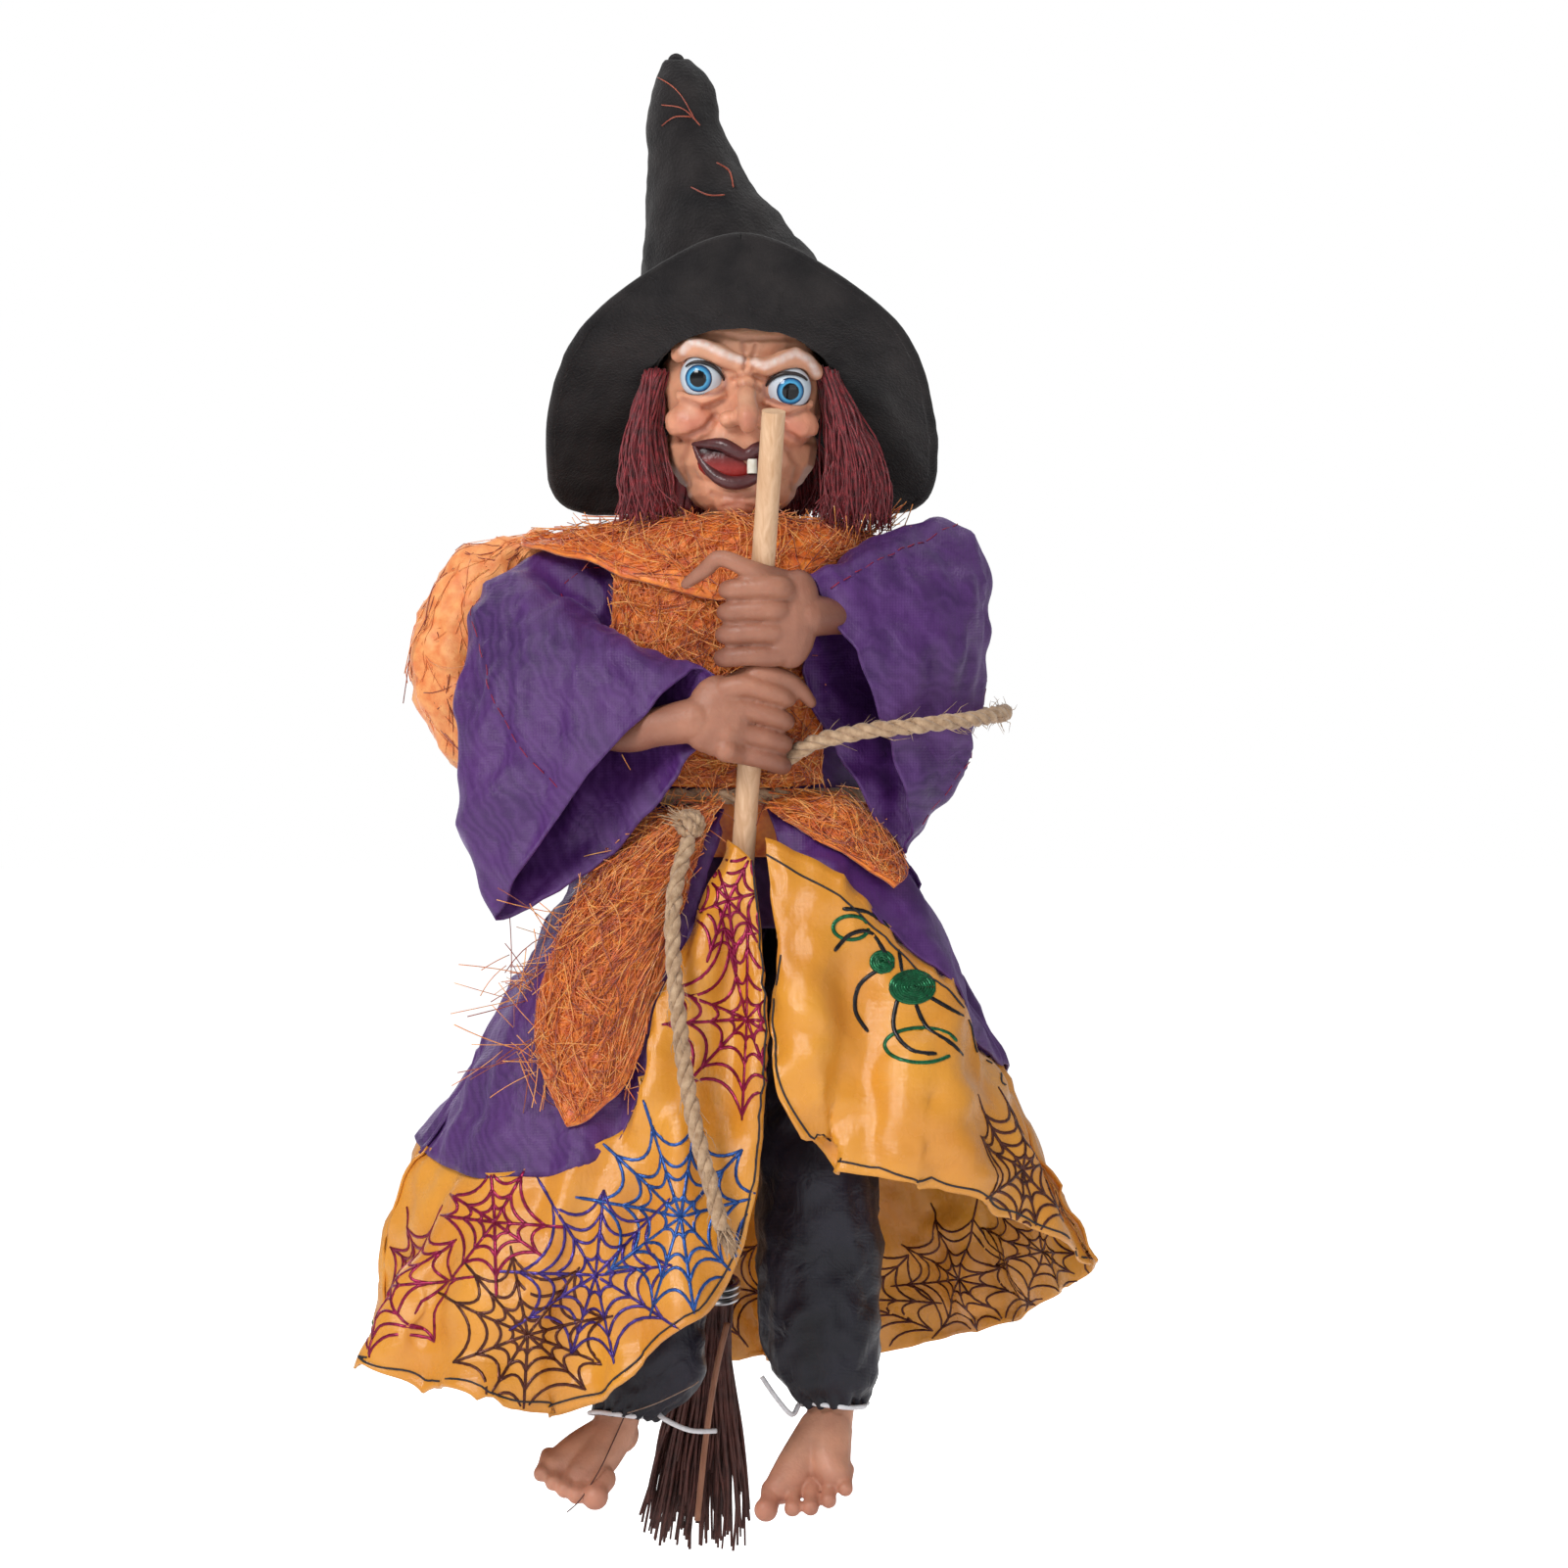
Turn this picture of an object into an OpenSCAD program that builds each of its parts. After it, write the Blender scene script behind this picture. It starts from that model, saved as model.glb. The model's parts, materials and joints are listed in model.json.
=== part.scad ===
// Hanging witch doll astride a broomstick, with a sound and motion unit in the torso.
// The origin is the hanging eye at the nape. +Z is up and the doll faces -Y.

/* [Figure] */
// Distance of the torso's centre in front of the hanging eye
torso_ahead = 30; // [28:0.5:32]
// Height of the hat's tip over the hanging eye
hat_top_z = 117; // [112:0.5:120]
// Depth of the broom's tips under the hanging eye
broom_tip_z = -243; // [-248:0.5:-238]
// Thickness of the dress cloth
cloth_t = 1.2; // [0.8:0.1:1.6]
// Thickness of the felt hat
felt_t = 1.6; // [1.2:0.1:2]

/* [Broom] */
// Radius of the broomstick
stick_r = 2.8; // [2.4:0.1:3]
// Radial clearance of the stick in the hands
grip_clearance = 0.06; // [0.02:0.01:0.1]
// Radius of the bristles at their tips
bristle_r = 15.5; // [13:0.5:16]

/* [Neck and hips] */
// Radius of the neck post that the head turns on
post_r = 6; // [5:0.25:6.5]
// Radius of the steel hip pin
pin_r = 1.5; // [1.2:0.1:1.7]
// Radial clearance on the neck post and the hip pin
run_clearance = 0.05; // [0.02:0.01:0.1]

/* [Sound and motion unit] */
// Width of the unit's casing
unit_w = 44; // [42:1:46]
// Depth of the unit's casing
unit_d = 30; // [29:0.5:31]
// Wall of the unit's casing
unit_wall = 1.6; // [1.4:0.1:1.8]
// Radius of an AAA cell
cell_r = 5.25; // [5:0.05:5.25]
// Length of an AAA cell
cell_len = 44.5; // [43:0.5:45]
// Radius of the hole in the hanging eye
eye_r = 2; // [1.5:0.25:2.25]

/* [Rope] */
// Thickness of the jute rope
rope_d = 4; // [3.5:0.1:4.4]

/* [Hidden] */
$fn = 48;

// The broom's axis passes through these two points
broom_top = [7.8, -56, 30.6];
broom_foot = [-11.5, 25.5, broom_tip_z];
// Height of the lower end of the stick, inside the bristles
stick_end_z = -186;
// Heights of the casing's bottom and top
unit_lo = -76;
unit_hi = -12;
// Corner radius of the casing
corner_r = 6;
// Place of the hip pin in the torso's side view
hip_y = -2;
hip_z = -81;
// Middle of each leg rod's eye along the hip pin
hip_x = 14;
// Axis of the motor, which lies along X
motor_y = -7;
motor_z = -66;
motor_x = 0;

purple = [0.25, 0.08, 0.36];
gold = [0.93, 0.62, 0.17];
orange = [0.85, 0.33, 0.05];
skin_tan = [0.74, 0.44, 0.30];
hand_tan = [0.50, 0.28, 0.18];
felt = [0.06, 0.05, 0.07];
jute = [0.74, 0.56, 0.38];
trouser_black = [0.06, 0.06, 0.10];
casing = [0.85, 0.84, 0.80];

// ---------- curves and surfaces ----------

function catmull(a, b, c, d, t) =
    0.5 * (2 * b + (c - a) * t + (2 * a - 5 * b + 4 * c - d) * t * t
    + (3 * b - a - 3 * c + d) * t * t * t);

// A smooth open curve through the points of p, with k steps between neighbours
function smooth(p, k) = let (last = len(p) - 1) [
    for (i = [0 : last - 1]) for (j = [0 : k - 1])
        catmull(p[max(i - 1, 0)], p[i], p[i + 1], p[min(i + 2, last)], j / k),
    p[last]
];

// The same, closed into a loop
function smooth_loop(p, k) = let (n = len(p)) [
    for (i = [0 : n - 1]) for (j = [0 : k - 1])
        catmull(p[(i + n - 1) % n], p[i], p[(i + 1) % n], p[(i + 2) % n], j / k)
];

function transpose(m) = [for (j = [0 : len(m[0]) - 1]) [for (row = m) row[j]]];
function reverse(v) = [for (i = [len(v) - 1 : -1 : 0]) v[i]];
function unit(v) = v / norm(v);
function mean(v) = [for (axis = [0 : 2]) [for (p = v) p[axis]] * [for (p = v) 1] / len(v)];

// A net of points refined along its rows and its columns
function smooth_net(net, k_down, k_across) =
    transpose([for (col = transpose([for (row = net) smooth(row, k_across)])) smooth(col, k_down)]);

function net_normal(g, i, j) =
    let (up = g[max(i - 1, 0)][j], down = g[min(i + 1, len(g) - 1)][j])
    let (before = g[i][max(j - 1, 0)], after = g[i][min(j + 1, len(g[0]) - 1)])
    unit(cross(down - up, after - before));

// An ellipse of n points in the plane of its two half axes
function ring(centre, a, b, n) =
    [for (k = [0 : n - 1]) centre + a * cos(360 * k / n) + b * sin(360 * k / n)];
// A level ellipse
function level(x, y, z, rx, ry, n) = ring([x, y, z], [rx, 0, 0], [0, ry, 0], n);
// A ring's points moved towards its centre by the wall
function inset(r, wall) = let (c = mean(r)) [for (p = r) p + unit(c - p) * wall];

// The triangles between two neighbouring rings of n points
function band(i, next, n) = [
    for (j = [0 : n - 1]) each let (k = (j + 1) % n) [
        [i * n + j, i * n + k, next * n + k],
        [i * n + j, next * n + k, next * n + j]
    ]
];

// A solid through rings of equal size, closed at both ends by a fan
module loft(rings) {
    n = len(rings[0]);
    last = len(rings) - 1;
    points = [each for (r = rings) r, mean(rings[0]), mean(rings[last])];
    start = (last + 1) * n;
    polyhedron(points, [
        for (i = [0 : last - 1]) each band(i, i + 1, n),
        for (j = [0 : n - 1]) [(j + 1) % n, j, start],
        for (j = [0 : n - 1]) [last * n + j, last * n + (j + 1) % n, start + 1]
    ]);
}

// A tube with walls, open at both ends
module sleeve_shell(rings, wall) {
    n = len(rings[0]);
    all = concat(rings, reverse([for (r = rings) inset(r, wall)]));
    count = len(all);
    polyhedron([each for (r = all) r], [for (i = [0 : count - 1]) each band(i, (i + 1) % count, n)]);
}

// A sheet of cloth t thick over a net of points
module cloth(net, t, k_down = 3, k_across = 3) {
    g = smooth_net(net, k_down, k_across);
    wide = len(g[0]);
    n = 2 * wide;
    last = len(g) - 1;
    rows = [
        for (i = [0 : last])
            let (lift = [for (j = [0 : wide - 1]) net_normal(g, i, j) * t / 2])
            concat(g[i] + lift, reverse(g[i] - lift))
    ];
    polyhedron([each for (r = rows) r], [
        for (i = [0 : last - 1]) each band(i, i + 1, n),
        for (j = [0 : wide - 2]) each [[j + 1, j, n - 1 - j], [j + 1, n - 1 - j, n - 2 - j]],
        for (j = [0 : wide - 2]) each let (s = last * n)
            [[s + j, s + j + 1, s + n - 1 - j], [s + j + 1, s + n - 2 - j, s + n - 1 - j]]
    ]);
}

// Directions across a path, turned with it from ring to ring
function path_dir(p, i) = unit(p[min(i + 1, len(p) - 1)] - p[max(i - 1, 0)]);
function side_of(dir) = unit(cross(dir, abs(dir[2]) < 0.9 ? [0, 0, 1] : [0, 1, 0]));
function carried(p, i) = i == 0 ? side_of(path_dir(p, 0))
    : let (before = carried(p, i - 1), d = path_dir(p, i)) unit(before - d * (before * d));

// A round cord of radius r along a path
module cord(path, r, sides = 8) {
    loft([
        for (i = [0 : len(path) - 1])
            let (s = carried(path, i), t = cross(path_dir(path, i), s)) ring(path[i], s * r, t * r, sides)
    ]);
}

// A closed round cord
module cord_loop(path, r, sides = 8) {
    n = len(path);
    rings = [
        for (i = [0 : n - 1])
            let (d = unit(path[(i + 1) % n] - path[(i + n - 1) % n]), out = unit(cross(d, [0, 0, 1])))
            ring(path[i], out * r, cross(out, d) * r, sides)
    ];
    polyhedron([each for (q = rings) q], [for (i = [0 : n - 1]) each band(i, (i + 1) % n, sides)]);
}

// A cylinder from a to b
module rod(a, b, r) {
    d = b - a;
    translate(a)
        rotate([0, acos(d[2] / norm(d)), atan2(d[1], d[0])])
            cylinder(r = r, h = norm(d));
}

// The torso's own centre line, ahead of the hanging eye
module torso() {
    translate([0, -torso_ahead, 0]) children();
}

function broom_at(z) = broom_top + (broom_foot - broom_top) * (broom_top[2] - z) / (broom_top[2] - broom_foot[2]);
broom_dir = unit(broom_foot - broom_top);

// Turns +Z onto the broom's axis, at a height along it
module on_broom(z) {
    translate(broom_at(z))
        rotate([0, acos(broom_dir[2]), atan2(broom_dir[1], broom_dir[0])])
            children();
}

// ---------- hat ----------

// The hat's band round the head, as front, side and back points of one half
function mirrored(half) = concat(half, [for (i = [len(half) - 2 : -1 : 1]) [-half[i][0], half[i][1], half[i][2]]]);
band_half = [[0, -22.5, 52], [12, -19.5, 50], [20, -11, 45], [23, 0, 38], [20, 12, 32], [12, 20, 29], [0, 23, 28]];
crown_rings = [
    smooth_loop(mirrored(band_half), 2),
    level(-1, 0, 58, 23, 22.5, 24),
    level(-3, 1, 68, 20.5, 20, 24),
    level(-7, 1, 79, 15.5, 15, 24),
    level(-10.7, 1, 89, 11.5, 11, 24),
    level(-13.5, 1, 101, 8.5, 8, 24),
    level(-14.8, 1, 112, 6, 6, 24),
    level(-15.8, 1, hat_top_z, 2.6, 2.6, 24)
];
// The loops start at the front and run to +X, so the level rings are turned to match
function from_front(r) = let (n = len(r)) [for (k = [0 : n - 1]) r[(k + 3 * n / 4) % n]];

module hat_crown() {
    rings = [crown_rings[0], for (i = [1 : len(crown_rings) - 1]) from_front(crown_rings[i])];
    inner = [for (i = [0 : len(rings) - 2]) inset(rings[i], felt_t)];
    torso() color(felt) loft(concat(reverse(inner), rings));
}

brim_mid = [[0, -27, 62], [14, -26, 59], [29, -18, 50], [35, -3, 36], [32, 14, 24], [20, 28, 20], [0, 33, 21]];
brim_half = [[0, -27, 73], [20, -26, 65], [39, -19, 49], [45.5, -4, 28], [43, 14, 12], [25, 33, 10.5], [0, 42, 14]];

module hat_brim() {
    start = smooth_loop([for (p = mirrored(band_half)) [p[0] * 1.03, p[1] * 1.03, p[2]]], 3);
    middle = smooth_loop(mirrored(brim_mid), 3);
    edge = smooth_loop(mirrored(brim_half), 3);
    top = [start, (start + middle) / 2, middle, (middle + edge) / 2, edge];
    n = len(start);
    // The felt's lower face lies a thickness under the upper one, square to the brim
    under = [
        for (i = [0 : 4]) [
            for (k = [0 : n - 1])
                let (out = top[min(i + 1, 4)][k] - top[max(i - 1, 0)][k])
                let (along = top[i][(k + 1) % n] - top[i][(k + n - 1) % n])
                top[i][k] - unit(cross(out, along)) * felt_t
        ]
    ];
    all = concat(top, reverse(under));
    torso() color(felt) polyhedron(
        [each for (r = all) r],
        [for (i = [0 : 9]) each band(i, (i + 1) % 10, n)]
    );
}

// ---------- head ----------

// How far the face stands out at an angle from the front and a height
function bump(a, wide, z, mid, tall) = exp(-pow(a / wide, 2) - pow((z - mid) / tall, 2));
function face_out(a, z) = 9 * bump(a, 15, z, 30, 6) + 3.5 * bump(a, 22, z, 10, 4) + 2 * bump(a, 30, z, 46, 3)
    - 2 * bump(a, 18, z, 15.5, 2);
function head_ring(z, rx, ry) = [
    for (k = [0 : 31]) let (a = 360 * k / 32, off = a > 180 ? a - 360 : a)
        [rx * sin(a), -(ry + face_out(off, z) * (abs(off) < 90 ? 1 : 0)) * cos(a), z]
];
head_rings = [
    head_ring(-8, 10, 10), head_ring(3, 10, 10), head_ring(6, 12, 14), head_ring(10, 14.5, 17),
    head_ring(15, 17, 19), head_ring(20, 18.6, 19.6), head_ring(25, 19.6, 20), head_ring(30, 20.3, 20),
    head_ring(36, 20.6, 20), head_ring(42, 20.4, 19.8), head_ring(48, 19.8, 19), head_ring(54, 18, 17.5),
    head_ring(60, 13, 13), head_ring(63, 6, 6)
];
left_eye = [-9.2, -15.6, 40.5];
right_eye = [11.3, -15.6, 37.8];
eyeball_r = 5.4;

module head() {
    cavity = [for (i = [4 : len(head_rings) - 3]) inset(head_rings[i], 2.4)];
    torso() color(skin_tan) difference() {
        loft(concat(head_rings, reverse(cavity)));
        translate([0, 0, -9]) cylinder(r = post_r + run_clearance, h = 26);
        // Eye sockets
        for (e = [left_eye, right_eye]) translate(e + [0, -9, 0]) rotate([-90, 0, 0])
            cylinder(r = eyeball_r + 0.05, h = 15);
        // Mouth
        translate([1, -30, 19]) rotate([-90, 0, 0]) cylinder(r = 4, h = 11.4);
    }
}

module eyeball_left() {
    torso() color("skyblue") translate(left_eye) sphere(r = eyeball_r);
}

module eyeball_right() {
    torso() color("skyblue") translate(right_eye) sphere(r = eyeball_r);
}

module tooth() {
    torso() color("ivory") translate([2.6, -20.6, 19]) cylinder(r = 1.2, h = 3.4, center = true);
}

// ---------- hair ----------

module hair_lock(side, rings) {
    color([0.35, 0.05, 0.07]) loft([for (r = rings) level(side * r[0], r[1], r[2], r[3], r[4], 12)]);
}

module hair_left() {
    torso() hair_lock(-1, [[24.4, -6, 33, 2, 5], [25.4, -7, 26, 3.4, 7], [25.8, -8, 17, 4.4, 7.5], [24.6, -9, 9, 3.4, 6]]);
}

module hair_right() {
    torso() hair_lock(1, [[24.6, -6, 33, 2, 5], [26.4, -7, 26, 4, 7], [28.2, -8, 17, 5.2, 7.5], [28, -9, 9, 4.4, 6]]);
}

module hair_back() {
    torso() color([0.35, 0.05, 0.07])
        loft([level(0, 22.4, 23, 8, 1.4, 12), level(0, 22.2, 16, 11, 2.2, 12), level(0, 21.6, 9.5, 10, 2, 12)]);
}

// ---------- sound and motion unit ----------

// A block with round upright edges, from y0 to y1, rounded where the flags say
module casing_block(w, y0, y1, z0, z1, r, round_front, round_back) {
    inner_lo = y0 + (round_front ? r : 0);
    inner_hi = y1 - (round_back ? r : 0);
    translate([-w / 2, inner_lo, z0]) cube([w, inner_hi - inner_lo, z1 - z0]);
    translate([-w / 2 + r, y0, z0]) cube([w - 2 * r, y1 - y0, z1 - z0]);
    for (side = [-1, 1]) {
        if (round_front) translate([side * (w / 2 - r), y0 + r, z0]) cylinder(r = r, h = z1 - z0);
        if (round_back) translate([side * (w / 2 - r), y1 - r, z0]) cylinder(r = r, h = z1 - z0);
    }
}

// Places of the four casing screws
module at_screws() {
    for (x = [-17, 17]) for (z = [unit_lo + 5, unit_hi - 5]) translate([x, 0, z]) children();
}

module unit_front_shell() {
    depth = unit_d / 2;
    torso() color(casing) {
        difference() {
            casing_block(unit_w, -depth, -0.05, unit_lo, unit_hi, corner_r, true, false);
            casing_block(unit_w - 2 * unit_wall, -depth + unit_wall, 1, unit_lo + unit_wall, unit_hi - unit_wall,
                corner_r - unit_wall, true, false);
            // Slots in front of the speaker
            for (i = [-2 : 2]) translate([-9, -depth - 1, -29 + i * 4 - 0.8]) cube([18, unit_wall + 2, 1.6]);
            // Slot for the switch knob, in the side
            translate([unit_w / 2 - unit_wall - 1, -8.6, -60]) cube([unit_wall + 2, 3.2, 9]);
            // Seat for the neck post
            translate([0, -0.05, unit_hi - unit_wall - 1]) cylinder(r = post_r, h = unit_wall + 2);
        }
        at_screws() translate([0, -depth + 1, 0]) rotate([-90, 0, 0]) difference() {
            cylinder(r = 2.6, h = depth - 1.2);
            translate([0, 0, 4]) cylinder(r = 1, h = depth);
        }
    }
}

// The hanging eye's plate in side view
module eye_plate() {
    rotate([90, 0, 90]) linear_extrude(height = 3, center = true)
        polygon([[8, -12.5], [14.9, -14.2], [18.5, -14.2], [32.6, -3.4], [34.2, 0.4], [31.8, 3.8], [28, 4], [25.6, 2],
            [19, -6], [10, -11.4]]);
}

module unit_back_shell() {
    depth = unit_d / 2;
    torso() color(casing) difference() {
        union() {
            difference() {
                casing_block(unit_w, 0, depth, unit_lo, unit_hi, corner_r, false, true);
                casing_block(unit_w - 2 * unit_wall, -1, depth - unit_wall, unit_lo + unit_wall, unit_hi - unit_wall,
                    corner_r - unit_wall, false, true);
                // Battery opening
                translate([-16.6, depth - unit_wall - 1, -67]) cube([33.2, unit_wall + 2, 50]);
            }
            // Wall behind the cells
            translate([-unit_w / 2 + 1, 1, -69]) cube([unit_w - 2, 1.2, 53]);
            eye_plate();
            // Ears for the hip pin
            for (x = [-hip_x - 5.5, -hip_x + 3.6, hip_x - 5.5, hip_x + 3.6])
                translate([x, 0.5, unit_lo - 9]) cube([1.9, 4, 9.5]);
            for (x = [-hip_x - 5.5, -hip_x + 3.6, hip_x - 5.5, hip_x + 3.6])
                translate([x, hip_y - 3.5, unit_lo - 9]) cube([1.9, 7, 6]);
            at_screws() rotate([-90, 0, 0]) cylinder(r = 2.6, h = depth - 0.5);
        }
        translate([0, torso_ahead, 0]) rotate([0, 90, 0]) cylinder(r = eye_r, h = 8, center = true);
        translate([0, hip_y, hip_z]) rotate([0, 90, 0]) cylinder(r = pin_r, h = unit_w, center = true);
        at_screws() rotate([-90, 0, 0]) translate([0, 0, -1]) cylinder(r = 1.25, h = depth + 4);
        // Sinks for the screw heads
        at_screws() rotate([-90, 0, 0]) translate([0, 0, depth - 2.4]) cylinder(r = 2.2, h = 4);
        translate([0, 0, unit_hi - unit_wall - 1]) cylinder(r = post_r, h = unit_wall + 2);
    }
}

module battery_cover() {
    torso() color(casing) {
        translate([-18.5, unit_d / 2 + 0.15, -69]) cube([37, 1.5, 53.4]);
        // Finger ridges
        for (i = [0 : 3]) translate([-6, unit_d / 2 + 1.6, -22 - 2 * i]) cube([12, 0.6, 0.9]);
    }
}

module battery_cells() {
    torso() color([0.2, 0.22, 0.25])
        for (x = [-11, 0, 11]) translate([x, 8, -64.8]) {
            cylinder(r = cell_r, h = cell_len - 1);
            translate([0, 0, cell_len - 1.2]) cylinder(r = 1.9, h = 1.2);
        }
}

module battery_contacts() {
    torso() color([0.75, 0.75, 0.72])
        for (x = [-11, 0, 11]) {
            translate([x - 4, 4.4, -19.9]) cube([8, 7, 0.5]);
            translate([x - 4, 4.4, -66.6]) cube([8, 7, 0.4]);
            translate([x, 8, -66.3]) cylinder(r1 = 4, r2 = 2.4, h = 1.4);
        }
}

module circuit_board() {
    torso() {
        color([0.05, 0.3, 0.12]) translate([-13, -3.4, -58]) cube([32.5, 1.2, 20]);
        color([0.05, 0.05, 0.05]) translate([-6, -4.6, -52]) cube([8, 1.3, 8]);
        color([0.1, 0.1, 0.3]) translate([-9.5, -3.3, -42]) rotate([90, 0, 0]) cylinder(r = 2, h = 6);
    }
}

module speaker() {
    torso() translate([0, -unit_d / 2 + unit_wall + 0.1, -27]) rotate([-90, 0, 0]) {
        color([0.15, 0.15, 0.15]) difference() {
            cylinder(r = 12.5, h = 3);
            translate([0, 0, -1]) cylinder(r = 11, h = 2.2);
        }
        color([0.7, 0.7, 0.7]) translate([0, 0, 2.9]) cylinder(r = 7, h = 3.6);
    }
}

module microphone() {
    torso() color([0.6, 0.6, 0.6]) translate([11, -3.45, -42]) rotate([90, 0, 0]) cylinder(r = 3, h = 4.5);
}

module motor() {
    torso() color([0.7, 0.7, 0.72]) translate([motor_x, motor_y, motor_z]) rotate([0, 90, 0]) {
        translate([0, 0, -12]) cylinder(r = 6, h = 16);
        cylinder(r = 1, h = 13);
    }
}

module eccentric_weight() {
    torso() color([0.72, 0.58, 0.3]) translate([motor_x + 6, motor_y, motor_z]) rotate([0, 90, 0]) difference() {
        union() {
            cylinder(r = 2.4, h = 5);
            intersection() {
                cylinder(r = 5.4, h = 5);
                translate([0, -6, 0]) cube([6, 12, 5]);
            }
        }
        translate([0, 0, -1]) cylinder(r = 1 + run_clearance, h = 8);
    }
}

switch_z = -55.5;
module switch_body() {
    torso() color([0.1, 0.1, 0.1]) translate([13.2, -11, switch_z - 6]) difference() {
        cube([6.6, 6.4, 12]);
        translate([3.4, 2.2, 2]) cube([4, 3.6, 8]);
    }
}

module switch_knob() {
    torso() color([0.1, 0.1, 0.1]) translate([16.7, -8.5, switch_z - 3.6]) cube([6.6, 3, 3.2]);
}

module unit_screws() {
    torso() color([0.7, 0.7, 0.72])
        at_screws() {
            translate([0, unit_d / 2 - 2.4, 0]) rotate([-90, 0, 0]) difference() {
                cylinder(r = 2, h = 1.2);
                translate([-1.5, -0.25, 0.7]) cube([3, 0.5, 1]);
                translate([-0.25, -1.5, 0.7]) cube([0.5, 3, 1]);
            }
            translate([0, -9.5, 0]) rotate([-90, 0, 0]) cylinder(r = 1, h = unit_d / 2 + 7.5);
        }
}

module neck_post() {
    torso() color(casing) {
        translate([0, 0, unit_hi - unit_wall]) cylinder(r = post_r, h = 26.6);
        translate([0, 0, unit_hi - unit_wall - 1.5]) cylinder(r = post_r + 2, h = 1.5);
        translate([0, 0, 15.3]) cylinder(r = post_r + 1.2, h = 1.2);
    }
}

module hip_pin() {
    torso() color([0.7, 0.7, 0.72]) translate([0, hip_y, hip_z]) rotate([0, 90, 0]) cylinder(r = pin_r, h = 42, center = true);
}

// ---------- dress ----------

module dress_bodice() {
    // Each row is a height, half width, half depth and the ring's set-back
    rows = [[-6, 13, 12.5, 0], [-7.6, 28, 19, 0.4], [-12, 31, 22.2, 0.8], [-36, 31, 22.2, 0.8], [-61, 31, 22.2, 0.8]];
    rings = [for (r = rows) level(0, r[3], r[0], r[1], r[2], 28)];
    torso() color(purple) difference() {
        sleeve_shell(rings, cloth_t);
        // Armholes
        translate([0, 0, -16]) rotate([0, 90, 0]) cylinder(r = 6, h = 90, center = true);
        // Slit for the hanging eye's plate
        translate([-3, 10, -32]) cube([6, 20, 40]);
    }
}

skirt_back_net = [
    [[-31.5, 0, -62], [-27, 14, -62], [-14, 21.5, -62], [0, 23, -62], [14, 21.5, -62], [27, 14, -62], [31.5, 0, -62]],
    [[-52, -1, -100], [-44, 24, -100], [-22, 36, -100], [0, 39, -100], [22, 36, -100], [42, 24, -97], [47, -1, -92]],
    [[-79, -2, -143], [-62, 34, -144], [-32, 50, -146], [0, 54, -147], [32, 50, -146], [56, 32, -138], [63, -2, -124]]
];
hem_back_net = [
    [[-79.5, -2, -145], [-62, 34, -146], [-32, 50, -148], [0, 54, -149], [32, 50, -148], [56, 32, -140], [63.5, -2, -126]],
    [[-85, -2, -170], [-68, 36, -172], [-34, 54, -173], [0, 57.5, -174], [34, 54, -173], [63, 34, -164], [75, -2.5, -150]],
    [[-90.5, -2, -194], [-73, 38, -196], [-36, 56, -198], [0, 60, -199], [36, 57, -197], [69, 36, -186], [83.5, -3, -172]]
];
// The front panels run from the side to the raised middle, where the broomstick passes through
skirt_left_net = [
    [[-31.6, -1.5, -62], [-28.5, -10.5, -62], [-22, -16.5, -62], [-13, -21, -62.5], [-4, -22.8, -63]],
    [[-52, -3, -98], [-49, -18, -100], [-40, -28, -98], [-24, -32, -88], [-5, -25, -66]],
    [[-79, -4, -143], [-71, -22, -147], [-56, -34, -150], [-28, -42, -139], [-6, -25.4, -69]]
];
hem_left_net = [
    [[-79.5, -4, -145], [-71, -22, -149], [-56, -35, -152], [-29, -43, -141], [-19, -41, -113], [-10, -36, -91],
        [-1, -31.5, -71.5]],
    [[-85, -4, -170], [-77, -24, -174], [-62, -38, -176], [-34, -47, -174], [-10, -47, -140], [-2, -40, -104],
        [1, -32.5, -73]],
    [[-90.5, -4, -194], [-83, -25, -197], [-65, -41, -200], [-38, -50, -203], [-3, -51, -173], [6, -44, -124],
        [3, -33.5, -75]]
];
skirt_right_net = [
    [[31.6, -1.5, -62], [28.5, -10.5, -62], [22, -16.5, -62], [14, -20.5, -62.5], [6, -22.8, -63]],
    [[47, -3, -90], [43, -16, -84], [34, -24, -76], [22, -27, -70], [7.5, -25, -66]],
    [[63, -4, -124], [57, -20, -116], [46, -31, -102], [26, -34, -81], [9, -27.5, -71]]
];
hem_right_net = [
    [[63.5, -4, -126], [57.5, -21, -118], [46.5, -32, -104], [26, -36, -83], [12, -35, -75], [6, -33.5, -72.5]],
    [[75, -4, -150], [68, -28, -142], [50, -42, -130], [26, -46, -116], [12, -42, -100], [7.5, -37, -84]],
    [[83.5, -5, -172], [72, -30, -162], [48, -46, -152], [20, -50, -145], [8.5, -46, -125], [9.5, -39, -98]]
];

module skirt_back() { torso() color(purple) cloth(skirt_back_net, cloth_t, 4, 3); }
module skirt_left() { torso() color(purple) cloth(skirt_left_net, cloth_t, 4, 3); }
module skirt_right() { torso() color(purple) cloth(skirt_right_net, cloth_t, 4, 3); }
module hem_back() { torso() color(gold) cloth(hem_back_net, cloth_t, 3, 3); }
module hem_left() { torso() color(gold) cloth(hem_left_net, cloth_t, 3, 3); }
module hem_right() { torso() color(gold) cloth(hem_right_net, cloth_t, 3, 3); }

// A point of a refined net, between its rows and columns
function net_at(g, u, v) =
    let (i = min(floor(u), len(g) - 2), j = min(floor(v), len(g[0]) - 2), s = u - i, t = v - j)
    (g[i][j] * (1 - t) + g[i][j + 1] * t) * (1 - s) + (g[i + 1][j] * (1 - t) + g[i + 1][j + 1] * t) * s;

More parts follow.
